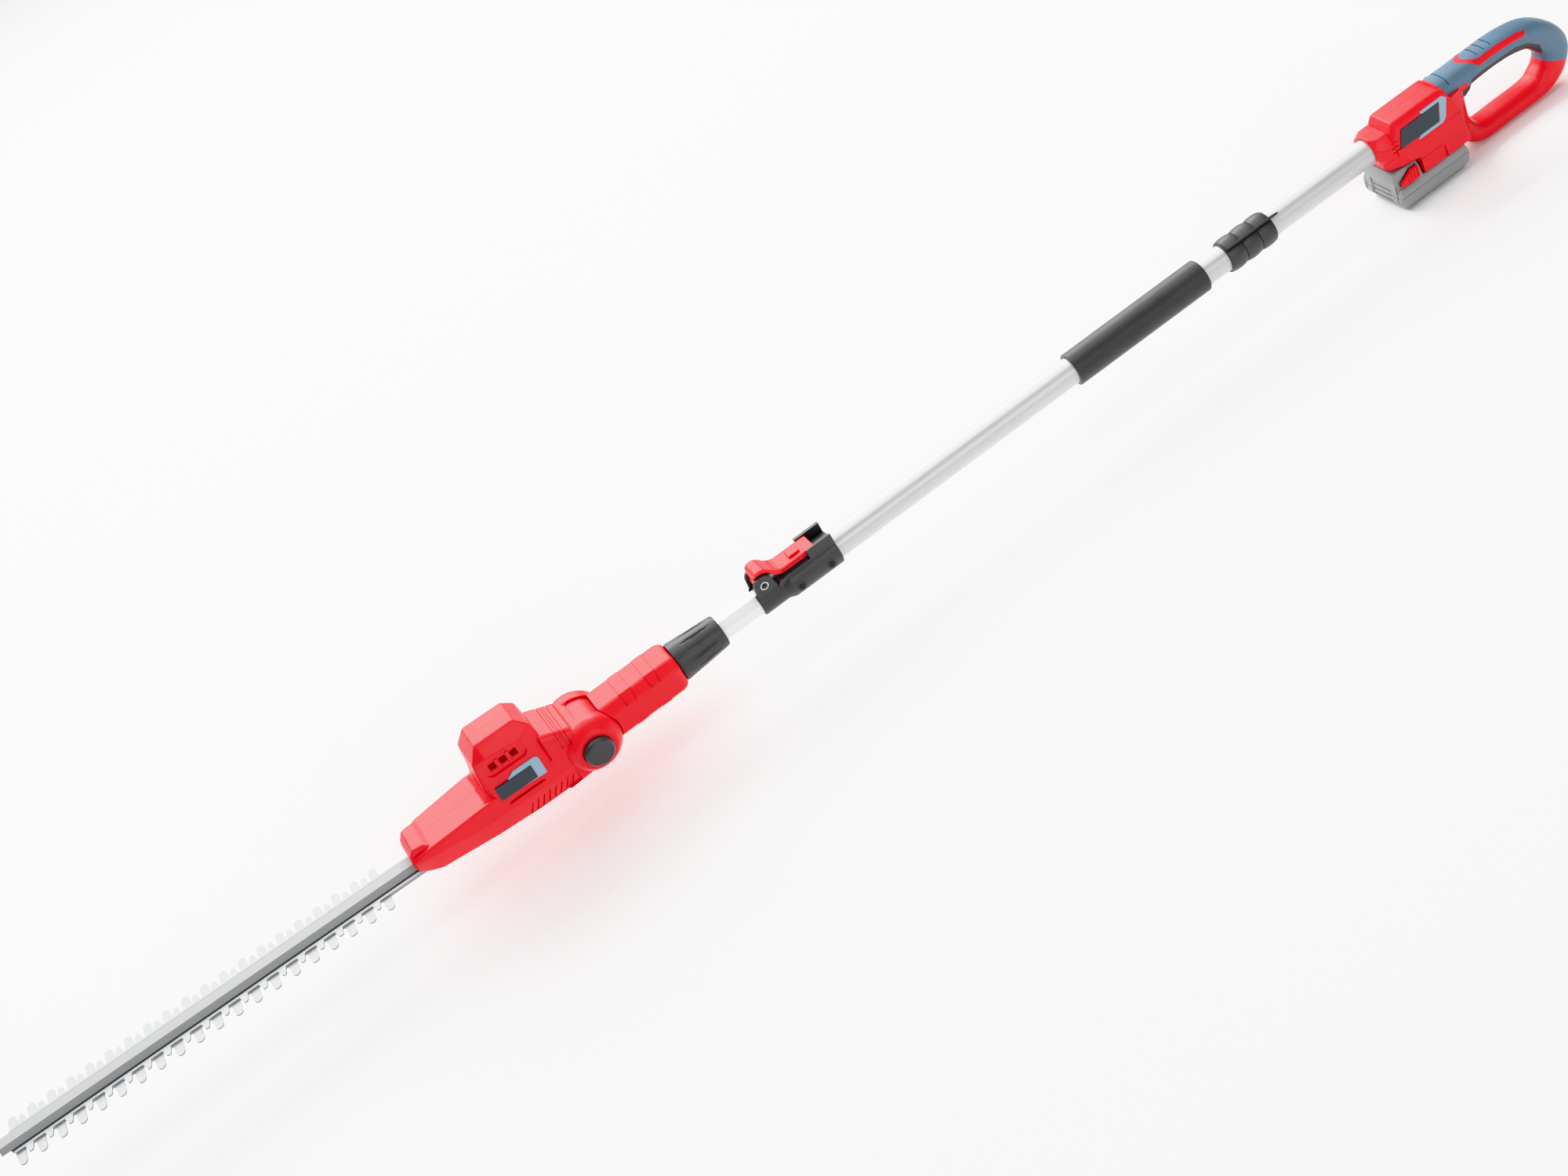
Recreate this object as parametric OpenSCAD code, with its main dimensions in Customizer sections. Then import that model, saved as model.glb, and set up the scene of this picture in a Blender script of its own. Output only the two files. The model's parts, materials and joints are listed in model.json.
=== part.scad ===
// Pole hedge trimmer: battery handle, telescopic pole and tilting cutting head.
// +X runs from the handle to the blade tip, +Y to the left, +Z up. The origin is the centre of the
// battery's underside. All sizes are in millimetres.

/* [Pole] */
// Height of the pole's centre line above the battery's underside
pole_z = 82; // [82:0.5:84]
// Outside diameter of the two round tubes
tube_d = 32; // [31.6:0.1:32]
// Wall thickness of the round tubes
tube_wall = 1.2; // [1:0.1:1.2]
// Width across the flats of the octagonal inner tube
inner_af = 27; // [26:0.1:27]
// Distance from the battery's centre to the head hinge
hinge_x = 1139; // [1130:1:1150]

/* [Cutting head] */
// Upward tilt of the head in its resting notch, in degrees
head_tilt = 2.47; // [0:0.1:4]
// Distance from the hinge to the tip of the guide bar
bar_reach = 721; // [715:1:725]
// Number of long teeth on each side of the blade
tooth_count = 20; // [10:1:20]
// Spacing of the teeth along the blade
tooth_pitch = 23; // [22:0.5:23]
// Distance from the blade's centre line to the tips of the long teeth
long_tooth_y = 36.5; // [34:0.5:38]
// Distance from the blade's centre line to the tips of the short teeth
short_tooth_y = 28; // [26:0.5:30]
// Thickness of each blade
blade_t = 2; // [1.8:0.1:2]
// Offset of the eccentrics that drive the blades, which is half of each blade's stroke
crank_r = 5.75; // [5:0.25:5.75]

/* [Gears] */
// Teeth on the drive gear
gear_teeth = 50; // [50:10:50]
// Teeth on the motor pinion
pinion_teeth = 10; // [10:10:10]

/* [Battery] */
// Length of the battery
battery_l = 103; // [102:0.5:103]
// Width of the battery
battery_w = 69; // [68:0.5:69]
// Height of the battery's box up to the housing's skirt
battery_h = 33; // [32:0.5:33]

/* [Fits] */
// Gap between pieces that move past each other
gap = 0.3; // [0.2:0.05:0.4]
// Radial clearance of a pin in a running bore
run = 0.05; // [0.02:0.01:0.09]

/* [Hidden] */
$fn = 48;
over = 1;
tube_r = tube_d / 2;
bore_r = tube_r - tube_wall;
octagon_turn = 22.5;
inner_corner_r = inner_af / 2 / cos(octagon_turn);
body_red = "#c8102e";
slate = "#3c4348";
steel_blue = "#7c93a6";
steel = "#c9cccf";
aluminium = "#d4d7da";

// Stations along the pole
rear_tube_x = [-20, 231];
main_tube_x = [232, 868];
inner_tube_x = [275, 1095];
foam_x = [297, 480];
coupling_x = [201, 265];
clamp_x = [807, 910];
nut_x = [959, 1018.7];
yoke_x = [1019, 1107];

// Hinge
hub_r = 33.3;
hub_inner_y = 17;
hub_outer_y = 40;
hinge_pin_r = 5;
knob_r = 17.3;

// Cutting head, measured from the hinge with the blade level
motor_x = 80;
gear_x = motor_x + (gear_teeth + pinion_teeth) / 2;
gear_z = [-8, -1];
bar_z = [-18, -12];
upper_z = bar_z[0] - 0.2 - blade_t;
lower_z = upper_z - gap - blade_t;
eccentric_r = 10;
shaft_r = 3;
first_tooth_x = bar_reach - 18.2;
last_tooth_x = first_tooth_x - (tooth_count - 1) * tooth_pitch;
bolt_xs = [for (i = [0 : 4]) bar_reach - 32 - i * 4 * tooth_pitch];
nose_x = 224;

// Rear handle
clamp_pivot = [896, pole_z + 24];
trigger_pivot = [-66, 81];
coupling_pin_angle = 200;
coupling_pin_r = 20.5;

// ---------- Helpers ----------

// Extrudes an outline drawn in X and Z, evenly to both sides of Y = 0
module side_prism(outline, half_w)
    rotate([90, 0, 0])
        linear_extrude(height = 2 * half_w, center = true)
            polygon(outline);

// Extrudes an outline drawn in X and Y from z0 up to z1
module plan_prism(outline, z0, z1)
    translate([0, 0, z0])
        linear_extrude(height = z1 - z0)
            polygon(outline);

// Extrudes an outline drawn in Y and Z from x0 to x1
module front_prism(outline, x0, x1)
    translate([x0, 0, 0])
        rotate([90, 0, 90])
            linear_extrude(height = x1 - x0)
                polygon(outline);

// A box given by its lowest and highest corners
module block(low, high)
    translate(low)
        cube(high - low);

// A cylinder along Y, centred on [x, z]
module rod_y(centre, y0, y1, r)
    translate([centre[0], y0, centre[1]])
        rotate([-90, 0, 0])
            cylinder(h = y1 - y0, r = r);

// A cylinder or cone along the pole's centre line
module rod_x(x0, x1, r0, r1)
    translate([x0, 0, pole_z])
        rotate([0, 90, 0])
            cylinder(h = x1 - x0, r1 = r0, r2 = r1);

// An octagonal bar along the pole's centre line, with a flat on top
module octagon_x(x0, x1, across_flats)
    translate([x0, 0, pole_z])
        rotate([0, 90, 0])
            rotate([0, 0, octagon_turn])
                cylinder(h = x1 - x0, r = across_flats / 2 / cos(octagon_turn), $fn = 8);

// A round tube along the pole's centre line
module pipe_x(span, outer_r, inner_r)
    difference() {
        rod_x(span[0], span[1], outer_r, outer_r);
        rod_x(span[0] - over, span[1] + over, inner_r, inner_r);
    }

// Keeps the left (side = 1) or right (side = -1) half of a shape
module half(side)
    intersection() {
        children();
        translate([-1000, side > 0 ? 0 : -200, -200])
            cube([3500, 200, 600]);
    }

// Moves a shape drawn from the hinge to its place on the tilted head
module on_head()
    translate([hinge_x, 0, pole_z])
        rotate([0, -head_tilt, 0])
            children();

// An outline and its mirror image across the X axis, joined into one
function mirrored(outline) = concat(
    outline,
    [for (i = [len(outline) - 1 : -1 : 0]) [outline[i][0], -outline[i][1]]]
);

// A screw along Y with its head on the right
module screw_y(centre, seat_y, tip_y, shank_r, head_r, head_h)
    union() {
        rod_y(centre, seat_y, tip_y, shank_r);
        rod_y(centre, seat_y - head_h, seat_y + 0.1, head_r);
    }

// ---------- Rear handle ----------

// Centre line of the handle's loop in X and Z, with half its thickness and half its width
loop_path = [
    [-40, 95, 16, 18], [-72.5, 95, 16, 18], [-100, 95, 15.4, 18], [-130, 95, 15.4, 18],
    [-155, 92.5, 15.5, 18], [-177, 85.5, 16.5, 18], [-195, 71, 18, 18], [-203.5, 56, 19.5, 17.6],
    [-207, 42, 20, 17.4], [-203.5, 28, 17, 17], [-187, 18, 16, 17], [-170, 12.5, 12.5, 17],
    [-126, 12, 12, 17], [-93, 12, 12, 17], [-77, 19, 12, 17], [-67, 33, 12, 17], [-62, 55, 12, 17]
];
loop_last = len(loop_path) - 1;
ring_sides = 16;
ring_squareness = 0.72;
grip_rings = [1, 8];
grip_layer = 2;
loop_wall = 4.5;

function signed_power(v, p) = sign(v) * pow(abs(v), p);
function path_point(i) = [loop_path[i][0], loop_path[i][1]];
function path_tangent(i) =
    let (d = path_point(min(i + 1, loop_last)) - path_point(max(i - 1, 0)))
    d / norm(d);
function loop_ring(i, inset) =
    let (t = path_tangent(i), c = path_point(i))
    [for (k = [0 : ring_sides - 1])
        let (
            a = 360 * (k + 0.5) / ring_sides,
            up = (loop_path[i][2] - inset) * signed_power(cos(a), ring_squareness),
            out = (loop_path[i][3] - inset) * signed_power(sin(a), ring_squareness)
        )
        [c[0] - t[1] * up, out, c[1] + t[0] * up]
    ];

// A closed tube through a list of rings
module ring_skin(ring_list) {
    rings = len(ring_list);
    points = [for (ring = ring_list) each ring];
    sides = [for (r = [0 : rings - 2], k = [0 : ring_sides - 1])
        let (n = (k + 1) % ring_sides, b = r * ring_sides)
        each [[b + k, b + n, b + ring_sides + n], [b + k, b + ring_sides + n, b + ring_sides + k]]
    ];
    start_cap = [[for (k = [ring_sides - 1 : -1 : 0]) k]];
    end_cap = [[for (k = [0 : ring_sides - 1]) (rings - 1) * ring_sides + k]];
    polyhedron(points = points, faces = concat(sides, start_cap, end_cap), convexity = 6);
}

// The handle's loop between two of its rings, thinner all round by inset
module loop_sweep(first, last, inset)
    ring_skin([for (i = [first : last]) loop_ring(i, inset)]);

// The loop as the shells make it: thinner where the soft grip covers it
module loop_core()
    ring_skin(concat(
        [for (i = [0 : grip_rings[0]]) loop_ring(i, 0)],
        [for (i = [grip_rings[0] : grip_rings[1]]) loop_ring(i, grip_layer)],
        [for (i = [grip_rings[1] : loop_last]) loop_ring(i, 0)]
    ));

// Box-shaped part of the rear housing, above the battery
module housing_block()
    intersection() {
        side_prism([
            [52, 60], [52, 98], [37, 100], [29, 108.8], [-36, 108.8], [-71, 104], [-71, 40],
            [-56, battery_h + gap], [10, battery_h + gap], [15, 55], [46, 55]
        ], 40);
        front_prism([
            [-17, 109], [-22, 104], [-33, 40], [-34, 30], [34, 30], [33, 40], [22, 104], [17, 109]
        ], -80, 60);
        plan_prism(mirrored([[52, 22], [30, 30], [18, 34], [-52, 34], [-73, 17]]), 0, 120);
    }

module handle_outer()
    union() {
        housing_block();
        rod_x(30, 58, 22, 22);
        loop_core();
    }

// The layer of the loop that the soft grip and the finger pad fill
module grip_skin()
    difference() {
        loop_sweep(grip_rings[0], grip_rings[1], 0);
        loop_sweep(grip_rings[0] - 1, grip_rings[1] + 1, grip_layer);
    }

housing_screw_at = [[22, 57], [-40, 58], [-30, 102], [-150, 93], [-202, 45], [-120, 12]];

module housing_screw_set()
    for (p = housing_screw_at)
        screw_y(p, -10, 8, 1.5, 3, 3);

module handle_cavity()
    union() {
        front_prism([[-17, 105.5], [-28, 50], [28, 50], [17, 105.5]], -50, 28);
        loop_sweep(0, loop_last, loop_wall);
    }

// Bay for the battery's rails, open to the front
module rail_bay()
    union() {
        block([-50, -14 - gap, 30], [60, 14 + gap, 39 + gap]);
        block([-50, -18 - gap, 38 - gap], [60, 18 + gap, 45 + gap]);
    }

// Slot that the trigger swings in
module trigger_slot()
    block([-98, -6 - gap, 60], [-60.5, 6 + gap, 87]);

module handle_shell(side)
    half(side)
        difference() {
            union() {
                difference() {
                    handle_outer();
                    handle_cavity();
                }
                intersection() {
                    handle_outer();
                    union() {
                        for (p = housing_screw_at)
                            rod_y(p, -40, 40, 4.5);
                        rod_y(trigger_pivot, -18, -6 - gap, 4);
                        rod_y(trigger_pivot, 6 + gap, 18, 4);
                        block([-58, -20, 45], [-46, 20, 50]);
                    }
                }
            }
            rod_x(rear_tube_x[0], 60, tube_r, tube_r);
            rail_bay();
            terminals();
            trigger_slot();
            rod_y(trigger_pivot, -13, 13, 1.5);
            housing_screw_set();
            for (p = housing_screw_at)
                rod_y(p, -40, -12.9, 3.4);
            rod_y([-54, 96], -40, 0, 5.5 + gap);
            rod_y([-54, 96], -17.5 - gap, 0, 7.5 + gap);
            housing_badge(1);
            housing_badge(-1);
        }

module handle_shell_left()
    color(body_red) handle_shell(1);

module handle_shell_right()
    color(body_red) handle_shell(-1);

// Outline of the finger pad around the inside of the loop, seen from the side
pad_outline = [
    [-84, 88], [-150, 87], [-168, 80], [-184, 66], [-187, 57], [-172, 57], [-172, 70], [-100, 70], [-84, 74]
];
// Outline of the left red inlay on top of the grip, seen from above
inlay_outline = [[-78, 0], [-86, 0], [-105, 8.5], [-170, 8.5], [-165, 15.3], [-97, 15.3]];

module inlay(side)
    half(side)
        intersection() {
            grip_skin();
            plan_prism([for (p = inlay_outline) [p[0], side * p[1]]], 96, 130);
        }

module grip_cover()
    color(steel_blue)
        difference() {
            grip_skin();
            side_prism(pad_outline, 30);
            inlay(1);
            inlay(-1);
            trigger_slot();
            rod_y(trigger_pivot, -13, 13, 1.5);
            rod_y([-150, 93], -40, -12.9, 3.4);
        }

module grip_inlay_left()
    color(body_red) inlay(1);

module grip_inlay_right()
    color(body_red) inlay(-1);

module finger_pad()
    color(slate)
        difference() {
            intersection() {
                grip_skin();
                side_prism(pad_outline, 30);
            }
            trigger_slot();
        }

module trigger()
    color(slate)
        difference() {
            side_prism([
                [-69, 76], [-69, 68], [-74, 65], [-82, 66], [-89, 70], [-94, 78], [-94, 82], [-70, 84.5],
                [-62, 84.5], [-62, 78]
            ], 6);
            rod_y(trigger_pivot, -7, 7, 1.5 + run);
        }

module trigger_pin()
    color(steel) rod_y(trigger_pivot, -13, 13, 1.5);

module switch_body()
    color(slate)
        union() {
            block([-95, -6, 90], [-75, 6, 101]);
            block([-88, -1.5, 88.5], [-84, 1.5, 90]);
        }

module lock_off_button()
    color(slate)
        union() {
            rod_y([-54, 96], -22.5, -12, 5.5);
            rod_y([-54, 96], -17.5, -15, 7.5);
        }

// Contact block behind the rail bay, with three blades that enter the battery
module terminals()
    union() {
        block([-54, -16, 40], [-50, 16, 52]);
        for (y = [-9, 0, 9])
            block([-50.1, y - 0.5, 40], [-32, y + 0.5, 44]);
    }

module terminal_block()
    color(slate) terminals();

module housing_screws()
    color(steel) housing_screw_set();

// Thin plate let into the flank of the rear housing
module housing_badge(side)
    half(side)
        intersection() {
            side_prism([[23, 94], [-35, 94], [-27, 73], [31, 73]], 40);
            difference() {
                housing_block();
                translate([0, -side, 0])
                    housing_block();
            }
            translate([-100, side > 0 ? 5 : -45, 0])
                cube([200, 40, 200]);
        }

module housing_badge_left()
    color(slate) housing_badge(1);

module housing_badge_right()
    color(slate) housing_badge(-1);

// ---------- Battery ----------

module battery_case()
    color("#8f979c")
        difference() {
            plan_prism(mirrored([
                [battery_l / 2, battery_w / 2 - 5], [battery_l / 2 - 5, battery_w / 2],
                [8 - battery_l / 2, battery_w / 2], [-battery_l / 2, battery_w / 2 - 8]
            ]), 0, 22);
            block([4 - battery_l / 2, 1 - battery_w / 2, 2.5], [battery_l / 2 - 4, battery_w / 2 - 1, 23]);
        }

// Pocket on each side of the front block for its release button
module button_pocket(side)
    block(
        side > 0 ? [19, 25, 35] : [19, -40, 35],
        side > 0 ? [45, 40, 50.5] : [45, -25, 50.5]
    );

module battery_top()
    color("#8f979c")
        difference() {
            union() {
                plan_prism(mirrored([
                    [battery_l / 2, battery_w / 2 - 5], [battery_l / 2 - 5, battery_w / 2],
                    [8 - battery_l / 2, battery_w / 2], [-battery_l / 2, battery_w / 2 - 8]
                ]), 22, battery_h);
                block([16, 1 - battery_w / 2, battery_h - 1], [battery_l / 2, battery_w / 2 - 1, 53]);
                block([-48, -14, battery_h - 1], [17, 14, 40]);
                block([-48, -18, 38], [17, 18, 45]);
            }
            button_pocket(1);
            button_pocket(-1);
            block([4 - battery_l / 2, 1 - battery_w / 2 + 3, 21], [battery_l / 2 - 4, battery_w / 2 - 4, 30]);
            for (y = [-9, 0, 9])
                block([-49, y - 1, 39.5], [-30, y + 1, 46]);
        }

module battery_cells() {
    cell_r = 9;
    color("#4a6f8c")
        for (i = [-2 : 2])
            rod_y([i * 18.6, 12], -32.5, 32.5, cell_r);
}

// Ribbed release button on one side of the battery
module release_button(side) {
    face_y = 35.2;
    mirror([0, side > 0 ? 0 : 1, 0])
        difference() {
            block([19 + gap, 30, 35 + gap], [45 - gap, face_y, 50.5 - gap]);
            for (x = [24 : 4 : 40])
                block([x - 0.8, face_y - 1.2, 34], [x + 0.8, face_y + 1, 52]);
        }
}

module release_button_left()
    color(body_red) release_button(1);

module release_button_right()
    color(body_red) release_button(-1);

// ---------- Pole ----------

module rear_tube()
    color(aluminium) pipe_x(rear_tube_x, tube_r, bore_r);

module tube_spigot()
    color(aluminium) pipe_x([185, 255], bore_r, bore_r - 2);

module main_tube()
    color(aluminium) pipe_x(main_tube_x, tube_r, bore_r);

module foam_grip()
    color(slate) pipe_x(foam_x, 20, tube_r);

// Wedge round the pole between two angles, measured from +Y towards +Z
module pole_wedge(from_angle, to_angle, reach, x0, x1)
    translate([0, 0, pole_z])
        front_prism(concat(
            [[0, 0]],
            [for (i = [0 : 6])
                let (a = from_angle + (to_angle - from_angle) * i / 6)
                [reach * cos(a), reach * sin(a)]
            ]
        ), x0, x1);

function coupling_pin_at() = [
    coupling_pin_r * cos(coupling_pin_angle), coupling_pin_r * sin(coupling_pin_angle)
];

// A cylinder parallel to the pole on the coupling's hinge line
module coupling_rod(x0, x1, r)
    translate([x0, coupling_pin_at()[0], pole_z + coupling_pin_at()[1]])
        rotate([0, 90, 0])
            cylinder(h = x1 - x0, r = r);

module coupling_collar()
    color(slate)
        difference() {
            union() {
                difference() {
                    rod_x(coupling_x[0], coupling_x[1], 20.5, 20.5);
                    pole_wedge(48, 212, 60, coupling_x[0] - over, coupling_x[1] + over);
                }
                rod_x(coupling_x[0], coupling_x[1], 17.8, 17.8);
                coupling_rod(coupling_x[0] + 2, coupling_x[0] + 11, 3.2);
                coupling_rod(coupling_x[1] - 11, coupling_x[1] - 2, 3.2);
            }
            rod_x(coupling_x[0] - over, coupling_x[1] + over, tube_r, tube_r);
            coupling_rod(coupling_x[0] + 11, coupling_x[1] - 11, 3.6);
            coupling_rod(coupling_x[0], coupling_x[1], 1.5);
        }

module coupling_lever() {
    inner_r = 18.1;
    outer_r = 20.5;
    fin_angle = 53;
    color(slate)
        difference() {
            union() {
                intersection() {
                    pipe_x([coupling_x[0] + 2, coupling_x[1] - 2], outer_r, inner_r);
                    pole_wedge(fin_angle - 3, 186, 60, coupling_x[0], coupling_x[1]);
                }
                intersection() {
                    coupling_rod(coupling_x[0] + 11 + gap, coupling_x[1] - 11 - gap, 3.2);
                    difference() {
                        rod_x(0, 400, 30, 30);
                        rod_x(-1, 401, inner_r, inner_r);
                    }
                }
                intersection() {
                    pipe_x([coupling_x[0] + 11 + gap, coupling_x[1] - 11 - gap], outer_r, inner_r);
                    pole_wedge(180, coupling_pin_angle, 60, coupling_x[0], coupling_x[1]);
                }
                translate([0, 0, pole_z])
                    rotate([fin_angle, 0, 0])
                        plan_prism([
                            [coupling_x[1] - 2, 19], [coupling_x[1] - 2, 24], [coupling_x[1] - 8, 26],
                            [coupling_x[0] + 4, 26], [coupling_x[0] - 11, 21], [coupling_x[0] + 2, 19]
                        ], -1.5, 1.5);
            }
            coupling_rod(coupling_x[0], coupling_x[1], 1.5 + run);
        }
}

module coupling_pin()
    color(steel) coupling_rod(coupling_x[0] + 2, coupling_x[1] - 2, 1.5);

module clamp_screw_set()
    for (x = [822, 862])
        union() {
            rod_y([x, pole_z - 2], tube_r, 19, 1.5);
            rod_y([x, pole_z - 2], 18.5, 21, 3.5);
        }

module clamp_body() {
    ear_in = 8 + gap;
    ear_out = 13;
    color(slate)
        difference() {
            union() {
                rod_x(878, clamp_x[1], 17, 17);
                rod_x(870, 878, 20, 17);
                rod_x(clamp_x[0], 870, 20, 20);
                for (side = [-1, 1])
                    mirror([0, side > 0 ? 0 : 1, 0]) {
                        translate([0, (ear_in + ear_out) / 2, 0])
                            side_prism([
                                [883, 90], [883, 110], [888, 114], [904, 114], [909, 109], [909, 90]
                            ], (ear_out - ear_in) / 2);
                        block([807, 11.5 + gap, 90], [839, 14.5, 111]);
                        block([839, 11.5 + gap, 90], [878, 14.5, 100]);
                    }
                for (x = [822, 862])
                    rod_y([x, pole_z - 2], 12, 20.5, 5);
            }
            rod_x(clamp_x[0] - over, main_tube_x[1], tube_r, tube_r);
            octagon_x(main_tube_x[1] - over, clamp_x[1] + over, inner_af + 2 * gap);
            block([886, -8 - gap, 94], [906, 8 + gap, 130]);
            rod_y(clamp_pivot, -20, 20, 2.5);
            clamp_screw_set();
        }
}

module clamp_lever()
    color(body_red)
        difference() {
            union() {
                side_prism([
                    [903, 109], [901, 119], [896, 124.5], [890, 124.5], [882, 121], [874, 112], [868, 109.5],
                    [831, 109.5], [829, 107], [831, 103.5], [871, 103.5], [882, 110], [889, 106]
                ], 8);
                rod_y(clamp_pivot, -8, 8, 8);
                block([831, -11.5, 103], [871, 11.5, 109.5]);
                block([843, -6, 109], [857, 6, 111.5]);
            }
            rod_y(clamp_pivot, -20, 20, 2.5 + run);
        }

module clamp_pin()
    color(steel) rod_y(clamp_pivot, -13, 13, 2.5);

module clamp_pad()
    color(slate)
        block([888, -7, pole_z + inner_af / 2 + gap], [904, 7, clamp_pivot[1] - 8 - gap]);

module clamp_screws()
    color(steel) clamp_screw_set();

module inner_tube()
    color(aluminium)
        difference() {
            octagon_x(inner_tube_x[0], inner_tube_x[1], inner_af);
            octagon_x(inner_tube_x[0] - over, inner_tube_x[1] + over, inner_af - 3);
        }

module tube_bush()
    color(slate)
        union() {
            rod_x(inner_tube_x[0] - 12, inner_tube_x[0], bore_r - 0.1, bore_r - 0.1);
            octagon_x(inner_tube_x[0] - 1, inner_tube_x[0] + 14, inner_af - 3);
        }

module collar_nut() {
    flutes = 12;
    color(slate)
        difference() {
            rod_x(nut_x[0], nut_x[1], 19, 23.5);
            rod_x(nut_x[0] - over, 975, inner_corner_r + gap, inner_corner_r + gap);
            rod_x(974, nut_x[1] + over, 19.2 + gap, 19.2 + gap);
            for (i = [0 : flutes - 1])
                translate([0, 0, pole_z])
                    rotate([360 * i / flutes, 0, 0])
                        side_prism([[962, 20.5], [966, 19.6], [1010, 22.6], [1014, 25], [962, 25]], 1.6);
        }
}

module compression_ring()
    color(slate)
        difference() {
            rod_x(976, 999, 16.5, 18.8);
            octagon_x(975, 1000, inner_af);
        }

// ---------- Hinge ----------

yoke_screw_at = [
    [1036, pole_z - 19], [1036, pole_z + 19], [1088, pole_z - 19], [1088, pole_z + 19]
];

module yoke_screw_set()
    for (p = yoke_screw_at)
        screw_y(p, -18, 12, 1.5, 3, 3);

module yoke(side) {
    half_w = 27.5;
    half_h = 24;
    tongue_half_h = 20;
    half(side)
        difference() {
            union() {
                difference() {
                    translate([0, 0, pole_z])
                        front_prism([
                            [11 - half_w, half_h], [-half_w, half_h - 10], [-half_w, 10 - half_h],
                            [11 - half_w, -half_h], [half_w - 11, -half_h], [half_w, 10 - half_h],
                            [half_w, half_h - 10], [half_w - 11, half_h]
                        ], yoke_x[0], yoke_x[1]);
                    rod_y([hinge_x, pole_z], -40, 40, hub_r + 0.7);
                }
                rod_y([hinge_x, pole_z], gap - hub_inner_y, hub_inner_y - gap, 30.5);
                block(
                    [1090, gap - hub_inner_y, pole_z - tongue_half_h],
                    [hinge_x, hub_inner_y - gap, pole_z + tongue_half_h]
                );
                rod_x(1000, yoke_x[0] + 1, 19.2, 19.2);
            }
            octagon_x(990, inner_tube_x[1], inner_af);
            rod_y([hinge_x, pole_z], -40, 40, hinge_pin_r);
            yoke_screw_set();
            for (p = yoke_screw_at)
                rod_y(p, -40, -20.9, 3.4);
        }
}

module yoke_left()
    color(body_red) yoke(1);

module yoke_right()
    color(body_red) yoke(-1);

module yoke_screws()
    color(steel) yoke_screw_set();

module hinge_pin()
    color(steel) rod_y([hinge_x, pole_z], -36, 31, hinge_pin_r);

module detent_ring() {
    notches = 13;
    ring_r = 13.5;
    color(steel)
        difference() {
            rod_y([hinge_x, pole_z], hub_inner_y - gap, hub_inner_y + 2.7, ring_r);
            rod_y([hinge_x, pole_z], 0, 30, hinge_pin_r);
            for (i = [0 : notches - 1])
                rod_y([
                    hinge_x + ring_r * cos(360 * i / notches),
                    pole_z + ring_r * sin(360 * i / notches)
                ], 10, 30, 1.4);
        }
}

module release_knob()
    color(slate)
        on_head()
            difference() {
                union() {
                    rod_y([0, 0], 33, 45, knob_r);
                    rod_y([0, 0], 45, 47.6, knob_r - 1.8);
                }
                rod_y([0, 0], 32, 42, 12);
            }

module hinge_cap()
    color(slate)
        on_head()
            rod_y([0, 0], -43, -38, 15);

// ---------- Cutting head ----------

head_side = [
    [-4, 29], [20, 31], [38, 46], [44, 70], [57, 81], [104, 81], [117, 64], [124, 18], [132, 16.5],
    [198, 9.5], [206, 13.5], [217, 13.5], [nose_x, 4], [nose_x, -20], [198, -26], [132, -31],
    [80, -35.5], [30, -34], [0, -33]
];

module head_body()
    intersection() {
        side_prism(head_side, 40);
        union() {
            block([-4, -31, -40], [45, 31, 60]);
            intersection() {
                plan_prism(mirrored([[40, 17], [52, 29], [112, 29], [124, 17]]), -10, 90);
                front_prism([[-18, 81], [-28, 68], [-30, -10], [30, -10], [28, 68], [18, 81]], 30, 130);
            }
            intersection() {
                plan_prism(mirrored([[0, 31], [30, 31], [55, 34], [132, 34], [198, 30], [212, 27], [nose_x, 19]]),
                    -40, 22);
                front_prism([
                    [-29, 22], [-34, -5], [-28, -31], [-22, -36], [22, -36], [28, -31], [34, -5], [29, 22]
                ], 0, 230);
            }
        }
    }

module head_outer()
    union() {
        head_body();
        rod_y([0, 0], -30, 30, hub_r);
        for (side = [-1, 1])
            mirror([0, side > 0 ? 0 : 1, 0])
                translate([0, 30, 0])
                    rotate([-90, 0, 0])
                        cylinder(h = hub_outer_y - 30, r1 = hub_r, r2 = 22);
    }

// Room between the cheeks for the yoke's tongue at every tilt
module tongue_slot()
    union() {
        rod_y([0, 0], -hub_inner_y, hub_inner_y, hub_r - 2.3);
        side_prism(concat(
            [[0, 0]],
            [for (a = [62 : 12 : 290]) [75 * cos(a), 75 * sin(a)]]
        ), hub_inner_y);
    }

head_screw_at = [[51, 40], [113, 40], [165, 0], [206, -1], [48, -24]];

module head_screw_set()
    for (p = head_screw_at)
        screw_y(p, -14, 10, 1.5, 3, 3);

module head_cavity()
    union() {
        // Motor chamber
        intersection() {
            side_prism([[48, 6], [48, 48], [52, 68], [60, 77], [102, 77], [113, 62], [119, 20], [119, 6]], 40);
            plan_prism(mirrored([[44, 15], [54, 25.5], [110, 25.5], [120, 15]]), 0, 90);
            front_prism([[-15, 78], [-24.5, 65], [-26, 0], [26, 0], [24.5, 65], [15, 78]], 30, 130);
        }
        // Gear chamber
        block([72, -26.5, -24], [150, 26.5, 1]);
        translate([motor_x, 0, 0])
            cylinder(h = 8, r = 7);
        translate([gear_x, 0, 0])
            cylinder(h = 6, r = 8);
        // Nose chamber
        block([154, -22, -9], [214, 22, 6]);
    }

// Passage for the blades through the nose
module blade_passage()
    block([140, -18.5, lower_z - 1], [240, 18.5, bar_z[0]]);

module vent_openings()
    for (x = [74 : 13 : 100])
        block([x - 3.9, -40, 48], [x + 3.9, 40, 57]);

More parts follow.
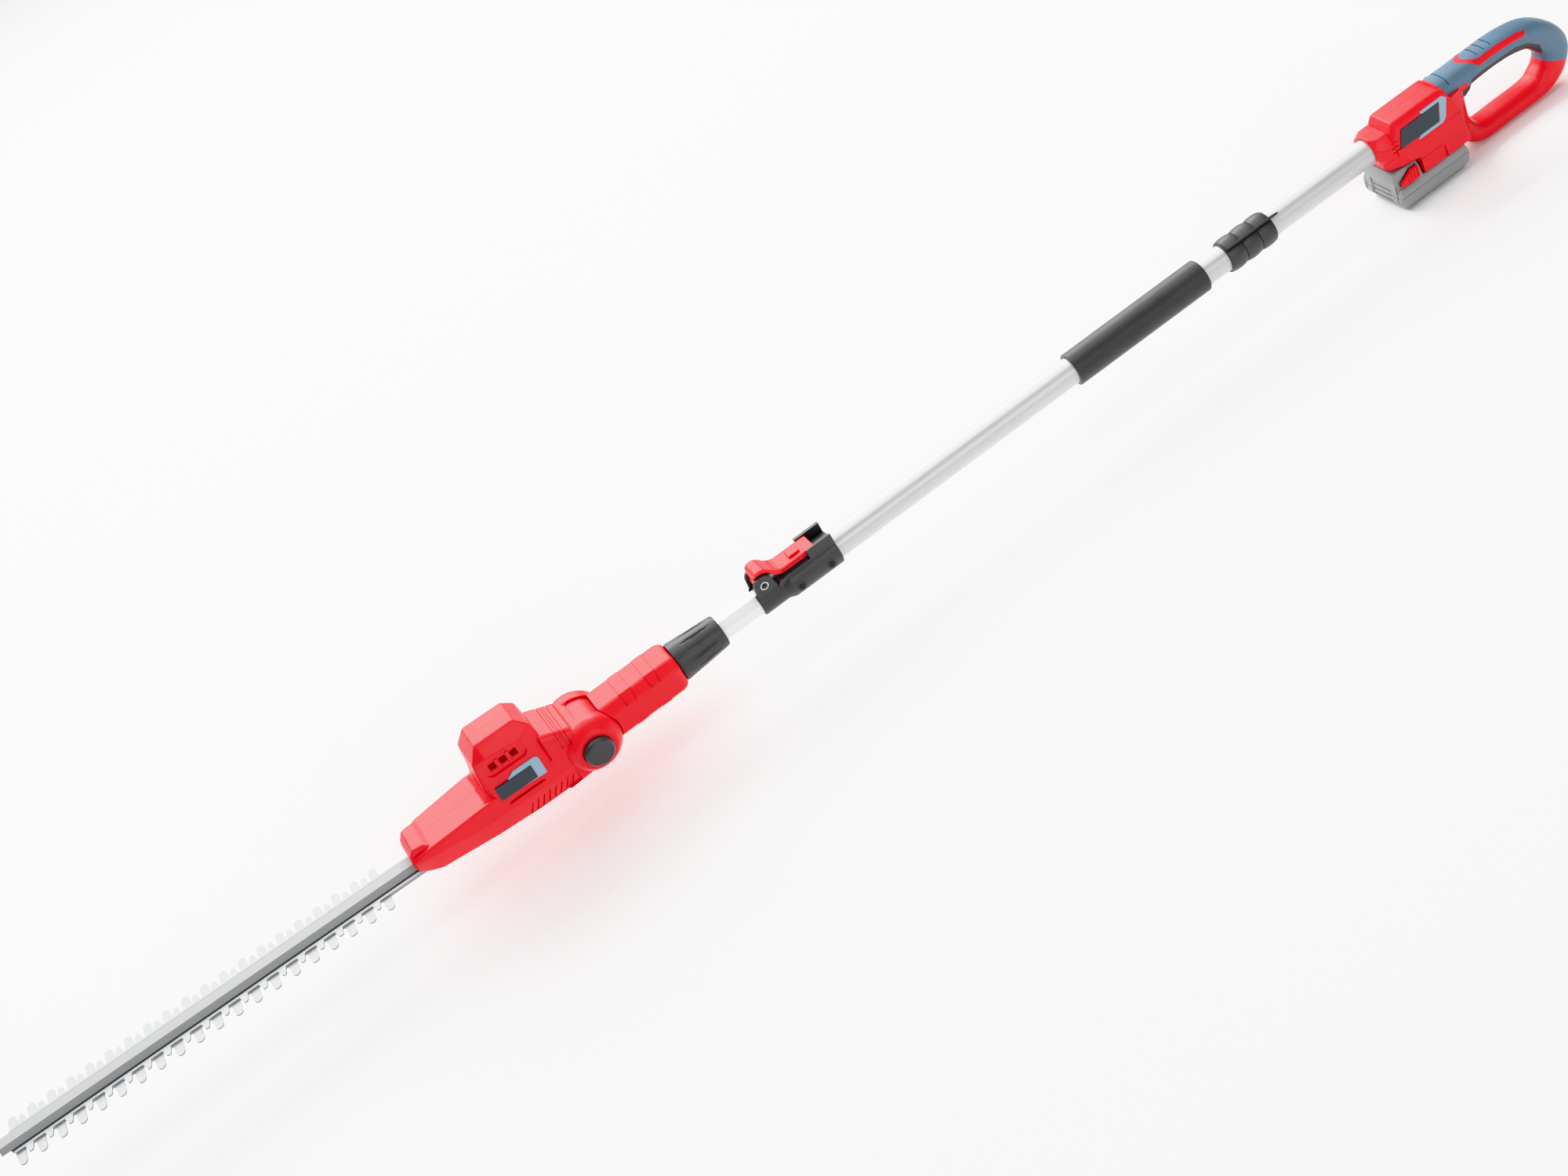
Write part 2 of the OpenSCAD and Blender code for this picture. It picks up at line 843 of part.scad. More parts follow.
// Thin plate let into the flank of the motor tower
module head_badge(side)
    half(side)
        intersection() {
            side_prism([[67, 28.5], [111, 28.5], [111, 10], [67, 10]], 40);
            difference() {
                head_body();
                translate([0, -side, 0])
                    head_body();
            }
            translate([0, side > 0 ? 15 : -55, -20])
                cube([150, 40, 100]);
        }

module head_shell(side)
    on_head()
        half(side)
            difference() {
                union() {
                    difference() {
                        head_outer();
                        head_cavity();
                        vent_openings();
                    }
                    intersection() {
                        head_outer();
                        for (p = head_screw_at)
                            rod_y(p, -40, 40, 4.5);
                    }
                }
                tongue_slot();
                blade_passage();
                bar_solid();
                head_screw_set();
                for (p = head_screw_at)
                    rod_y(p, -40, -16.9, 3.4);
                rod_y([0, 0], -38, 28, hinge_pin_r + run);
                rod_y([0, 0], hub_inner_y - 1, hub_inner_y + 3, 13.9);
                rod_y([0, 0], 28, 50, knob_r + gap);
                rod_y([0, 0], -50, -38, 15);
                head_badge(1);
                head_badge(-1);
                plate_solid();
            }

module head_shell_left()
    color(body_red) head_shell(1);

module head_shell_right()
    color(body_red) head_shell(-1);

module head_screws()
    color(steel) on_head() head_screw_set();

module head_badge_left()
    color(slate) on_head() head_badge(1);

module head_badge_right()
    color(slate) on_head() head_badge(-1);

module motor()
    color(steel)
        on_head()
            translate([motor_x, 0, 0])
                union() {
                    translate([0, 0, 8]) cylinder(h = 54, r = 18);
                    translate([0, 0, 61]) cylinder(h = 6, r = 8);
                    translate([0, 0, 4.5]) cylinder(h = 4, r = 6);
                    translate([0, 0, gear_z[0]]) cylinder(h = 14, r = 1.6);
                }

// Outline of a gear of module 1, with a tooth at the angle start
module gear_outline(teeth, start) {
    pitch_r = teeth / 2;
    pitch_angle = 360 / teeth;
    polygon([for (i = [0 : teeth - 1], p = [[-0.36, -1.15], [-0.27, -1.1], [-0.12, 0.8], [0.12, 0.8],
        [0.27, -1.1], [0.36, -1.15]])
        let (a = start + (i + p[0]) * pitch_angle, r = pitch_r + p[1])
        [r * cos(a), r * sin(a)]
    ]);
}

module motor_pinion()
    color(steel)
        on_head()
            translate([motor_x, 0, gear_z[0]])
                difference() {
                    linear_extrude(height = gear_z[1] - gear_z[0] + 2)
                        gear_outline(pinion_teeth, 180 / pinion_teeth);
                    translate([0, 0, -1]) cylinder(h = 20, r = 1.6 + run);
                }

module drive_gear()
    color(steel)
        on_head()
            translate([gear_x, 0, 0])
                difference() {
                    union() {
                        translate([0, 0, gear_z[0]])
                            linear_extrude(height = gear_z[1] - gear_z[0])
                                gear_outline(gear_teeth, 180);
                        translate([0, 0, upper_z])
                            cylinder(h = gear_z[0] - upper_z + 1, r = 6);
                        translate([crank_r, 0, upper_z - gap / 2])
                            cylinder(h = blade_t + gap / 2 + 0.1, r = eccentric_r);
                        translate([-crank_r, 0, lower_z])
                            cylinder(h = blade_t + gap / 2, r = eccentric_r);
                    }
                    translate([0, 0, -40]) cylinder(h = 60, r = shaft_r + run);
                }

module gear_shaft()
    color(steel)
        on_head()
            translate([gear_x, 0, -27])
                cylinder(h = 33, r = shaft_r);

module gear_bearing()
    color(steel)
        on_head()
            translate([gear_x, 0, 1])
                difference() {
                    cylinder(h = 5, r = 8);
                    translate([0, 0, -1]) cylinder(h = 7, r = shaft_r);
                }

module plate_solid()
    plan_prism(mirrored([[74, 20], [76, 22], [146, 22], [148, 20]]), -27, -24);

module gear_plate()
    color(aluminium)
        on_head()
            difference() {
                plate_solid();
                translate([gear_x, 0, -30]) cylinder(h = 10, r = shaft_r);
            }

// ---------- Blades ----------

module bar_solid()
    front_prism([
        [-6.7, bar_z[1]], [-11.7, bar_z[0]], [11.7, bar_z[0]], [6.7, bar_z[1]]
    ], 150, bar_reach);

module guide_bar()
    color(steel)
        on_head()
            difference() {
                bar_solid();
                for (x = bolt_xs)
                    translate([x, 0, -30]) cylinder(h = 17, r = 3);
            }

// Points of one tooth on the left edge, from its front to its back
function tooth(x, tip_y, root_half, tip_half) = concat(
    [[x + root_half, 17.5]],
    [for (a = [0 : 30 : 180]) [x + tip_half * cos(a), tip_y - tip_half + tip_half * sin(a)]],
    [[x - root_half, 17.5]]
);

// Outline of a blade: a root strip with a row of teeth on each edge
function blade_outline(first_x, count, tip_y, root_half, tip_half) = mirrored(concat(
    [[bar_reach - 9, 9], [bar_reach - 14, 17.5]],
    [for (i = [0 : count - 1]) each tooth(first_x - i * tooth_pitch, tip_y, root_half, tip_half)],
    [[146, 17.5], [136, 20.5], [gear_x - 27, 20.5]]
));

module blade(outline, z)
    on_head()
        difference() {
            plan_prism(outline, z, z + blade_t);
            block([gear_x - 22, -16.3, z - 1], [gear_x + 22, 16.3, z + blade_t + 1]);
            for (x = bolt_xs)
                union() {
                    block([x - crank_r, -3.2, z - 1], [x + crank_r, 3.2, z + blade_t + 1]);
                    for (end = [-crank_r, crank_r])
                        translate([x + end, 0, z - 1])
                            cylinder(h = blade_t + 2, r = 3.2);
                }
        }

module upper_blade()
    color(steel)
        blade(blade_outline(first_tooth_x - tooth_pitch / 2, tooth_count - 1, short_tooth_y, 4.8, 3), upper_z);

module lower_blade()
    color(steel)
        blade(blade_outline(first_tooth_x, tooth_count, long_tooth_y, 5.4, 4.6), lower_z);

module blade_bolts()
    color(steel)
        on_head()
            for (x = bolt_xs)
                translate([x, 0, 0])
                    union() {
                        translate([0, 0, lower_z - 2.5]) cylinder(h = bar_z[0] - lower_z + 7, r = 3);
                        translate([0, 0, lower_z - 3]) cylinder(h = 2.7, r = 5.5);
                    }

handle_shell_left();
handle_shell_right();
grip_cover();
grip_inlay_left();
grip_inlay_right();
finger_pad();
trigger();
trigger_pin();
switch_body();
lock_off_button();
terminal_block();
housing_screws();
housing_badge_left();
housing_badge_right();
battery_case();
battery_top();
battery_cells();
release_button_left();
release_button_right();
rear_tube();
tube_spigot();
coupling_collar();
coupling_lever();
coupling_pin();
main_tube();
foam_grip();
clamp_body();
clamp_lever();
clamp_pin();
clamp_pad();
clamp_screws();
inner_tube();
tube_bush();
collar_nut();
compression_ring();
yoke_left();
yoke_right();
yoke_screws();
hinge_pin();
detent_ring();
release_knob();
hinge_cap();
head_shell_left();
head_shell_right();
head_screws();
head_badge_left();
head_badge_right();
motor();
motor_pinion();
drive_gear();
gear_shaft();
gear_bearing();
gear_plate();
guide_bar();
upper_blade();
lower_blade();
blade_bolts();
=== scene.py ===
"""Pole hedge trimmer: the visible surfaces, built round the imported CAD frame.

Outlines are in millimetres in one of two local frames: POLE has its origin under the pole's centre line
at the battery's centre, with +X along the pole, and HEAD has its origin on the head's hinge, with +X
along the blade. +Y is the tool's left and +Z is up in both.
"""

import json
import math

import bmesh
import bpy
from mathutils import Matrix, Vector


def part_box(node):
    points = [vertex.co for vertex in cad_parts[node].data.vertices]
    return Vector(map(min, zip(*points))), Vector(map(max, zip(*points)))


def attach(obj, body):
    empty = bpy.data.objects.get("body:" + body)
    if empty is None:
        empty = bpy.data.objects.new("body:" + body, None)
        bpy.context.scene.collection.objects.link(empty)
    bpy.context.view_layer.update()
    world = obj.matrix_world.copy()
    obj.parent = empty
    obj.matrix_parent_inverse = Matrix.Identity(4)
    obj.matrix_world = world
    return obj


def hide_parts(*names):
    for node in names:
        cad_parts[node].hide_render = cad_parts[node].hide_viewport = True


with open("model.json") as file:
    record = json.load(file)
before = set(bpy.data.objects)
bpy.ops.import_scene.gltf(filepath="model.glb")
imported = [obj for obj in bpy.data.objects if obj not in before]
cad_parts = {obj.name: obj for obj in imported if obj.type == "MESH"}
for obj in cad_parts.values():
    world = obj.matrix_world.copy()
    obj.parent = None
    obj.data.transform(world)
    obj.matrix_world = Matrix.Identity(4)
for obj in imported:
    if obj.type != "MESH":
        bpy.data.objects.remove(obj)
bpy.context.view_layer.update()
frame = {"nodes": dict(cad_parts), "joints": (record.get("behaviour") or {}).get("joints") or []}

MM = 0.001
SEAM = 0.12  # half the gap at a parting line
SMALL_STEPS, TURN_STEPS, FINE_STEPS = 48, 72, 96  # sides of round parts, from small to large
ROUNDED_FROM, SHARP_FROM = 20, 32  # degrees between faces: edges to round, edges to shade sharp
SIDES = ((1, "left"), (-1, "right"))


# ---------- Anchors read from the frame ----------


def middle(node):
    low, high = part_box(node)
    return [(a + b) / 2 / MM for a, b in zip(low, high)]


def low_of(node, axis):
    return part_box(node)[0][axis] / MM


def high_of(node, axis):
    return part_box(node)[1][axis] / MM


joints = {joint["name"]: joint for joint in frame["joints"]}
blade_axis = joints["blade_upper_stroke"]["axis"]
TILT = math.atan2(blade_axis[2], blade_axis[0])
POLE_Z = middle("main_tube")[2]
HINGE_X = middle("hinge_pin")[0]
TUBE_R = (high_of("main_tube", 2) - low_of("main_tube", 2)) / 2
POLE = Matrix.Translation((0, 0, POLE_Z))
HEAD = Matrix.Translation((HINGE_X, 0, POLE_Z)) @ Matrix.Rotation(-TILT, 4, "Y")


# ---------- Mesh tools ----------


def to_object(bm, name="work"):
    mesh = bpy.data.meshes.new(name)
    bmesh.ops.recalc_face_normals(bm, faces=bm.faces)
    bm.to_mesh(mesh)
    bm.free()
    obj = bpy.data.objects.new(name, mesh)
    bpy.context.scene.collection.objects.link(obj)
    return obj


def round_edges(bm, width, segments):
    """Rounds every edge that turns by more than ROUNDED_FROM degrees."""
    if not width:
        return
    least = math.radians(ROUNDED_FROM)
    edges = [e for e in bm.edges if len(e.link_faces) == 2 and e.calc_face_angle(0) > least]
    bmesh.ops.bevel(
        bm,
        geom=edges,
        offset=width,
        offset_type="OFFSET",
        segments=segments,
        profile=0.5,
        affect="EDGES",
        clamp_overlap=True,
    )


def hull(points, radius=0, segments=3):
    """The convex solid round some points, with rounded edges."""
    bm = bmesh.new()
    for point in points:
        bm.verts.new(point)
    bmesh.ops.convex_hull(bm, input=bm.verts)
    bmesh.ops.delete(bm, geom=[v for v in bm.verts if not v.link_faces], context="VERTS")
    bmesh.ops.dissolve_limit(bm, angle_limit=math.radians(2), verts=bm.verts, edges=bm.edges)
    round_edges(bm, radius, segments)
    return to_object(bm)


def both_sides(points):
    return [(x, side * y, z) for x, y, z in points for side in (1, -1)]


def prism(outline, axis, low, high, radius=0, segments=2):
    """An outline drawn across an axis and extruded along it."""
    bm = bmesh.new()

    def at(point, along):
        if axis == "X":
            return (along, point[0], point[1])
        if axis == "Y":
            return (point[0], along, point[1])
        return (point[0], point[1], along)

    first = [bm.verts.new(at(p, low)) for p in outline]
    last = [bm.verts.new(at(p, high)) for p in outline]
    bm.faces.new(first)
    bm.faces.new(last[::-1])
    for i in range(len(outline)):
        j = (i + 1) % len(outline)
        bm.faces.new((first[j], first[i], last[i], last[j]))
    bmesh.ops.recalc_face_normals(bm, faces=bm.faces)
    round_edges(bm, radius, segments)
    return to_object(bm)


def catmull(p0, p1, p2, p3, t):
    return tuple(
        0.5 * (2 * b + (c - a) * t + (2 * a - 5 * b + 4 * c - d) * t * t + (3 * b - a - 3 * c + d) * t**3)
        for a, b, c, d in zip(p0, p1, p2, p3)
    )


def smooth_outline(outline, steps=4):
    """A smooth curve through the points of a closed outline."""
    n = len(outline)
    out = []
    for i in range(n):
        ends = [outline[(i + k) % n] for k in (-1, 0, 1, 2)]
        out += [catmull(*ends, s / steps) for s in range(steps)]
    return out


def block(low, high, radius=0, segments=2):
    """A box between two opposite corners."""
    outline = [(low[0], low[1]), (high[0], low[1]), (high[0], high[1]), (low[0], high[1])]
    return prism(outline, "Z", low[2], high[2], radius, segments)


def side_prism(outline, side, inner, outer, radius=0, segments=2):
    """A prism across Y on one side of the tool, between two distances from the middle."""
    low, high = sorted((side * inner, side * outer))
    return prism(outline, "Y", low, high, radius, segments)


def side_block(side, low, high, radius=0, segments=2):
    """A block on one side of the tool, whose Y values are distances from the middle."""
    near, far = sorted((side * low[1], side * high[1]))
    return block((low[0], near, low[2]), (high[0], far, high[2]), radius, segments)


def grid_solid(rows, loop=False):
    """A skin through rings of points, closed at its ends, or joined from last to first by loop."""
    bm = bmesh.new()
    rings = [[bm.verts.new(p) for p in row] for row in rows]
    for a, b in zip(rings, rings[1:] + ([rings[0]] if loop else [])):
        for i in range(len(a)):
            j = (i + 1) % len(a)
            bm.faces.new((a[i], a[j], b[j], b[i]))
    if not loop:
        bm.faces.new(rings[0][::-1])
        bm.faces.new(rings[-1])
    bmesh.ops.remove_doubles(bm, verts=bm.verts, dist=1e-5)
    return to_object(bm)


def revolve(profile, axis="X", centre=(0, 0, 0), steps=TURN_STEPS, closed=False):
    """Turns (radius, position) points about an axis. closed makes a ring with a hole."""
    rows = []
    for radius, along in profile:
        row = []
        for k in range(steps):
            a = 2 * math.pi * k / steps
            u, v = radius * math.cos(a), radius * math.sin(a)
            point = {"X": (along, u, v), "Y": (u, along, v), "Z": (u, v, along)}[axis]
            row.append(tuple(p + c for p, c in zip(point, centre)))
        rows.append(row)
    return grid_solid(rows, closed)


def rod(radius, low, high, axis="X", centre=(0, 0, 0), steps=TURN_STEPS):
    """A plain cylinder, to join or cut with."""
    return revolve([(0, low), (radius, low), (radius, high), (0, high)], axis, centre, steps)


def fan(radius, angles):
    """The outline of a sector: its centre, then a point at each angle in degrees."""
    turns = [math.radians(a) for a in angles]
    return [(0, 0)] + [(radius * math.cos(a), radius * math.sin(a)) for a in turns]


def soft_corners(profile, radius, steps=4):
    """Rounds the corners of a list of (radius, position) points, leaving its ends."""
    out = [profile[0]]
    for before, corner, after in zip(profile, profile[1:], profile[2:]):
        b, c, a = Vector(before), Vector(corner), Vector(after)
        reach = min(radius, (b - c).length / 2.2, (a - c).length / 2.2)
        start = c + (b - c).normalized() * reach
        end = c + (a - c).normalized() * reach
        for i in range(steps + 1):
            t = i / steps
            p = start * (1 - t) ** 2 + c * 2 * t * (1 - t) + end * t**2
            out.append((p.x, p.y))
    out.append(profile[-1])
    return out


def tidy_mesh(mesh):
    """Joins coincident points, drops slivers and splits faces into triangles, as exact booleans need."""
    bm = bmesh.new()
    bm.from_mesh(mesh)
    bmesh.ops.remove_doubles(bm, verts=bm.verts, dist=1e-4)
    bmesh.ops.dissolve_degenerate(bm, edges=bm.edges, dist=1e-4)
    bmesh.ops.triangulate(bm, faces=bm.faces)
    bm.to_mesh(mesh)
    bm.free()


def combine(base, others, operation):
    """Applies exact booleans to base, one at a time, and removes the other objects."""
    tidy_mesh(base.data)
    for other in others:
        tidy_mesh(other.data)
        modifier = base.modifiers.new("combine", "BOOLEAN")
        modifier.operation = operation
        modifier.solver = "EXACT"
        modifier.object = other
        depsgraph = bpy.context.evaluated_depsgraph_get()
        mesh = bpy.data.meshes.new_from_object(base.evaluated_get(depsgraph))
        base.modifiers.clear()
        base.data = mesh
        tidy_mesh(mesh)
        bpy.data.objects.remove(other)
    return base


def union(base, *others):
    return combine(base, others, "UNION")


def cut(base, *others):
    return combine(base, others, "DIFFERENCE")


def common(base, *others):
    return combine(base, others, "INTERSECT")


def copy_of(obj):
    twin = bpy.data.objects.new(obj.name, obj.data.copy())
    bpy.context.scene.collection.objects.link(twin)
    return twin


def mirrored(obj):
    """A copy of obj on the other side of Y = 0."""
    twin = copy_of(obj)
    twin.data.transform(Matrix.Scale(-1, 4, (0, 1, 0)))
    twin.data.flip_normals()
    return twin


def halves(obj):
    """Splits a solid into its left and right halves, with a fine gap at Y = 0."""
    reach, length = 400, 2000  # beyond every solid that is split
    right = copy_of(obj)
    common(obj, block((-reach, SEAM, -reach), (length, reach, reach)))
    common(right, block((-reach, -reach, -reach), (length, -SEAM, reach)))
    return obj, right


def piece(obj, name, body, material, local=POLE, replaces=()):
    """Puts a finished solid in its place, hides the CAD nodes it replaces and hangs it from its body."""
    obj.data.transform(Matrix.Scale(MM, 4) @ local)
    obj.name = name
    obj.data.name = name
    obj.data.materials.clear()
    obj.data.materials.append(material)
    obj.data.shade_smooth()
    obj.data.set_sharp_from_angle(angle=math.radians(SHARP_FROM))
    normals = obj.modifiers.new("normals", "WEIGHTED_NORMAL")
    normals.keep_sharp = True
    if replaces:
        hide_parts(*replaces)
    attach(obj, body)


# ---------- Materials ----------


class Nodes:
    """A short way to build one material's node tree."""

    def __init__(self, name, base, roughness, metallic=0.0):
        self.material = bpy.data.materials.new(name)
        self.material.use_nodes = True
        self.tree = self.material.node_tree
        self.shader = self.tree.nodes["Principled BSDF"]
        self.shader.inputs["Base Color"].default_value = (*base, 1)
        self.shader.inputs["Roughness"].default_value = roughness
        self.shader.inputs["Metallic"].default_value = metallic
        self.place = self.tree.nodes.new("ShaderNodeTexCoord").outputs["Object"]

    def link(self, a, b):
        self.tree.links.new(a, b)

    def stretched(self, scale):
        mapping = self.tree.nodes.new("ShaderNodeMapping")
        mapping.inputs["Scale"].default_value = scale
        self.link(self.place, mapping.inputs["Vector"])
        return mapping.outputs["Vector"]

    def noise(self, scale, detail=4.0, vector=None):
        node = self.tree.nodes.new("ShaderNodeTexNoise")
        node.inputs["Scale"].default_value = scale
        node.inputs["Detail"].default_value = detail
        self.link(vector or self.place, node.inputs["Vector"])
        return node.outputs["Fac"]

    def ramp(self, value, stops):
        node = self.tree.nodes.new("ShaderNodeValToRGB")
        ramp = node.color_ramp
        while len(ramp.elements) < len(stops):
            ramp.elements.new(0.5)
        for element, (position, colour) in zip(ramp.elements, stops):
            element.position = position
            element.color = (*colour, 1) if len(colour) == 3 else colour
        self.link(value, node.inputs["Fac"])
        return node.outputs["Color"]

    def range(self, value, low, high):
        node = self.tree.nodes.new("ShaderNodeMapRange")
        node.inputs["To Min"].default_value = low
        node.inputs["To Max"].default_value = high
        self.link(value, node.inputs["Value"])
        return node.outputs["Result"]

    def bump(self, height, strength, distance):
        node = self.tree.nodes.new("ShaderNodeBump")
        node.inputs["Strength"].default_value = strength
        node.inputs["Distance"].default_value = distance
        self.link(height, node.inputs["Height"])
        self.link(node.outputs["Normal"], self.shader.inputs["Normal"])


def scaled(colour, factor):
    return tuple(min(1, c * factor) for c in colour)


def moulded(name, colour, roughness, grain=0.5, grain_depth=0.00006, spread=0.06):
    """Moulded plastic: fine spark-eroded grain, faint flow marks and uneven gloss."""
    n = Nodes(name, colour, roughness)
    flow = n.noise(14, 3)
    tint = n.ramp(flow, [(0.3, scaled(colour, 1 - spread)), (0.7, scaled(colour, 1 + spread))])
    n.link(tint, n.shader.inputs["Base Color"])
    n.link(n.range(n.noise(90, 5), roughness - 0.06, roughness + 0.07), n.shader.inputs["Roughness"])
    n.bump(n.noise(2600, 2), grain, grain_depth)
    return n.material


def drawn_metal(name, colour, roughness, stretch, metallic=1.0, specular=0.5):
    """Drawn or ground metal: fine lines along one direction."""
    n = Nodes(name, colour, roughness, metallic)
    lines = n.noise(1, 6, n.stretched(stretch))
    tint = n.ramp(lines, [(0.25, scaled(colour, 0.93)), (0.75, scaled(colour, 1.04))])
    n.link(tint, n.shader.inputs["Base Color"])
    n.link(n.range(lines, roughness - 0.08, roughness + 0.1), n.shader.inputs["Roughness"])
    n.bump(lines, 0.25, 0.00003)
    n.shader.inputs["Specular IOR Level"].default_value = specular
    return n.material


def blade_steel(name):
    """Ground teeth with a dark root strip near the bar. The strip is partly the unground root's own oxide and
    partly the bar's shadow painted into the colour, fading out to the bright teeth.
    """
    bright = (0.39, 0.395, 0.40)
    # painted shade: the dark root colour and the mid tone stand for the unground root's oxide together with
    # the bar's shadow falling across the teeth's roots
    root_half_shadow = (0.06, 0.07, 0.075)
    root_oxide_and_shadow = (0.035, 0.045, 0.05)
    root_y, root_end = 0.0132, 0.0152  # metres from the blade's middle
    n = Nodes(name, bright, 0.55, 0.15)
    split = n.tree.nodes.new("ShaderNodeSeparateXYZ")
    n.link(n.place, split.inputs["Vector"])
    side = n.tree.nodes.new("ShaderNodeMath")
    side.operation = "ABSOLUTE"
    n.link(split.outputs["Y"], side.inputs[0])
    edge = n.tree.nodes.new("ShaderNodeMapRange")
    edge.inputs["From Min"].default_value = root_y
    edge.inputs["From Max"].default_value = root_end
    n.link(side.outputs[0], edge.inputs["Value"])
    # painted shade: near the bar the colour is darkened to the bar's shadow, then fades through the mid tone
    # to the bright ground teeth
    tint = n.ramp(edge.outputs["Result"], [(0, root_oxide_and_shadow), (0.35, root_half_shadow), (1, bright)])
    n.link(tint, n.shader.inputs["Base Color"])
    lines = n.noise(1, 6, n.stretched((2500, 120, 120)))
    n.link(n.range(lines, 0.42, 0.58), n.shader.inputs["Roughness"])
    n.bump(lines, 0.2, 0.00003)
    n.shader.inputs["Specular IOR Level"].default_value = 0.2
    return n.material


def foam(name, colour):
    """Closed-cell foam: small pores over slow colour changes."""
    n = Nodes(name, colour, 0.44)
    tint = n.ramp(n.noise(30, 4), [(0.3, scaled(colour, 0.85)), (0.7, scaled(colour, 1.15))])
    n.link(tint, n.shader.inputs["Base Color"])
    cells = n.tree.nodes.new("ShaderNodeTexVoronoi")
    cells.inputs["Scale"].default_value = 1400
    n.link(n.place, cells.inputs["Vector"])
    n.bump(cells.outputs["Distance"], 0.5, 0.0002)
    n.shader.inputs["Sheen Weight"].default_value = 0.12
    return n.material


red = moulded("red_plastic", (0.78, 0.010, 0.020), 0.36)
dark = moulded("dark_plastic", (0.056, 0.057, 0.058), 0.42)
knob_gloss = moulded("knob_plastic", (0.060, 0.061, 0.062), 0.3, 0.1)
blue = moulded("blue_soft_touch", (0.105, 0.180, 0.252), 0.42, 0.35, 0.00005, 0.05)
blue_trim = moulded("blue_trim", (0.30, 0.43, 0.55), 0.4)
plate = moulded("badge_plate", (0.040, 0.055, 0.068), 0.38, 0.2)
grey = moulded("battery_grey", (0.29, 0.293, 0.296), 0.45)
black = moulded("black_plastic", (0.012, 0.013, 0.014), 0.5)
white = moulded("white_print", (0.85, 0.85, 0.85), 0.5, 0.1)
foam_black = foam("foam_black", (0.042, 0.042, 0.043))
tube_metal = drawn_metal("tube_aluminium", (0.56, 0.565, 0.57), 0.42, (12, 900, 900), 0.45)
bar_metal = drawn_metal("bar_steel", (0.34, 0.343, 0.346), 0.55, (20, 1500, 1500), 0.1, 0.2)
screw_metal = drawn_metal("screw_steel", (0.45, 0.46, 0.47), 0.35, (600, 600, 600))
teeth_metal = blade_steel("blade_steel")
inner_metal = drawn_metal("inner_aluminium", (0.80, 0.805, 0.82), 0.42, (12, 900, 900), 0.3)


# ---------- Head ----------


def neck_points(inset=0):
    return both_sides(
        [
            (46, 25 - inset, 49 - inset),
            (46, 30 - inset, 42 - inset),
            (22, 26 - inset, 33 - inset),
            (0, 25 - inset, 30.5 - inset),
            (0, 30.5 - inset, 24 - inset),
            (0, 30.5 - inset, -26),
            (0, 25 - inset, -32),
            (46, 31 - inset, -30),
            (46, 25 - inset, -35),
        ]
    )


def nose_points(inset=0):
    return both_sides(
        [
            (20, 29 - inset, 16),
            (20, 32.5 - inset, -3),
            (20, 24 - inset, -34.5 + inset),
            (80, 33.8 - inset, -4),
            (80, 23 - inset, -35.4 + inset),
            (132, 30.5 - inset, 16.3),
            (132, 33.8 - inset, -4.5),
            (132, 27.5 - inset, -29.5 + inset),
            (132, 23 - inset, -31 + inset),
            (199, 27.8 - inset, 9.3),
            (199, 30 - inset, -0.8),
            (199, 25.5 - inset, -24.5 + inset),
            (199, 21 - inset, -26 + inset),
            (217, 23 - inset, 4),
            (220, 24 - inset, -2),
            (223.6, 18 - inset, 1.5),
            (223.6, 18.5 - inset, -12),
            (222, 19 - inset, -16),
            (213, 21 - inset, -22),
        ]
    )


def head_mass():
    """The motor tower, nose, neck and hinge cheeks as one solid."""
    tower = hull(
        both_sides(
            [
                (57, 18, 81),
                (104, 18, 81),
                (117, 22.5, 63),
                (103, 28.5, 67),
                (60, 28.5, 62),
                (45, 22, 68),
                (122, 22.5, 18),
                (114, 30.5, 10),
                (52, 30.5, 10),
                (40, 23, 30),
                (124, 22, -4),
                (112, 30.5, -4),
                (50, 30.5, -4),
                (38, 22, -4),
            ]
        ),
        1.8,
    )
    neck = hull(neck_points(), 2.5)
    steps = [(120.4, 22.4, 34), (121.6, 22.6, 26), (123.6, 23.4, 21), (127, 24.6, 17.6), (132, 26, 15.6)]
    fillets = []
    for (xa, ya, za), (xb, yb, zb) in zip(steps, steps[1:]):
        corners = [(xa, ya, za), (xb, yb, zb), (100, ya, za), (100, yb, zb), (100, 20, 0), (xb, yb, 0)]
        fillets.append(hull(both_sides(corners)))
    boss = hull(
        both_sides(
            [
                (204, 19.5, 13.4),
                (216, 19, 13.4),
                (222.5, 17, 5),
                (196, 24, 8.5),
                (222.5, 17, -6),
                (196, 24, 0),
            ]
        ),
        2.2,
    )
    hub_outline = [(0, 15), (33.3, 15), (33.3, 27.5), (30.5, 32.5), (23.5, 39.9), (0, 39.9)]
    hub = revolve(soft_corners(hub_outline, 3), "Y", steps=FINE_STEPS)
    return union(tower, neck, hull(nose_points(), 3, 4), *fillets, boss, hub, mirrored(hub))


def tongue_slot():
    """Room for the yoke: its drum, the swing of its neck, and its ends outside the hub."""
    neck_swing = prism(fan(80, range(90, 291, 10)), "Y", -16.8, 16.8)
    end_swing = prism(fan(60, range(70, 295, 14)), "Y", -45, 45)
    cut(end_swing, rod(33.4, -46, 46, "Y", steps=FINE_STEPS))
    return [rod(31.2, -16.9, 16.9, "Y"), neck_swing, end_swing]


def vent_cutters(side):
    """A recessed panel with three windows through its floor."""
    panel = [(61, 50), (66, 61.5), (107, 61.5), (111.5, 56), (111.5, 46), (105, 41), (66, 41), (61, 46)]
    cutters = [side_prism(panel, side, 27.4, 45)]
    for x in (74, 87, 100):
        cutters.append(side_block(side, (x - 3.9, 12, 48), (x + 3.9, 40, 57), 0.8))
    return cutters


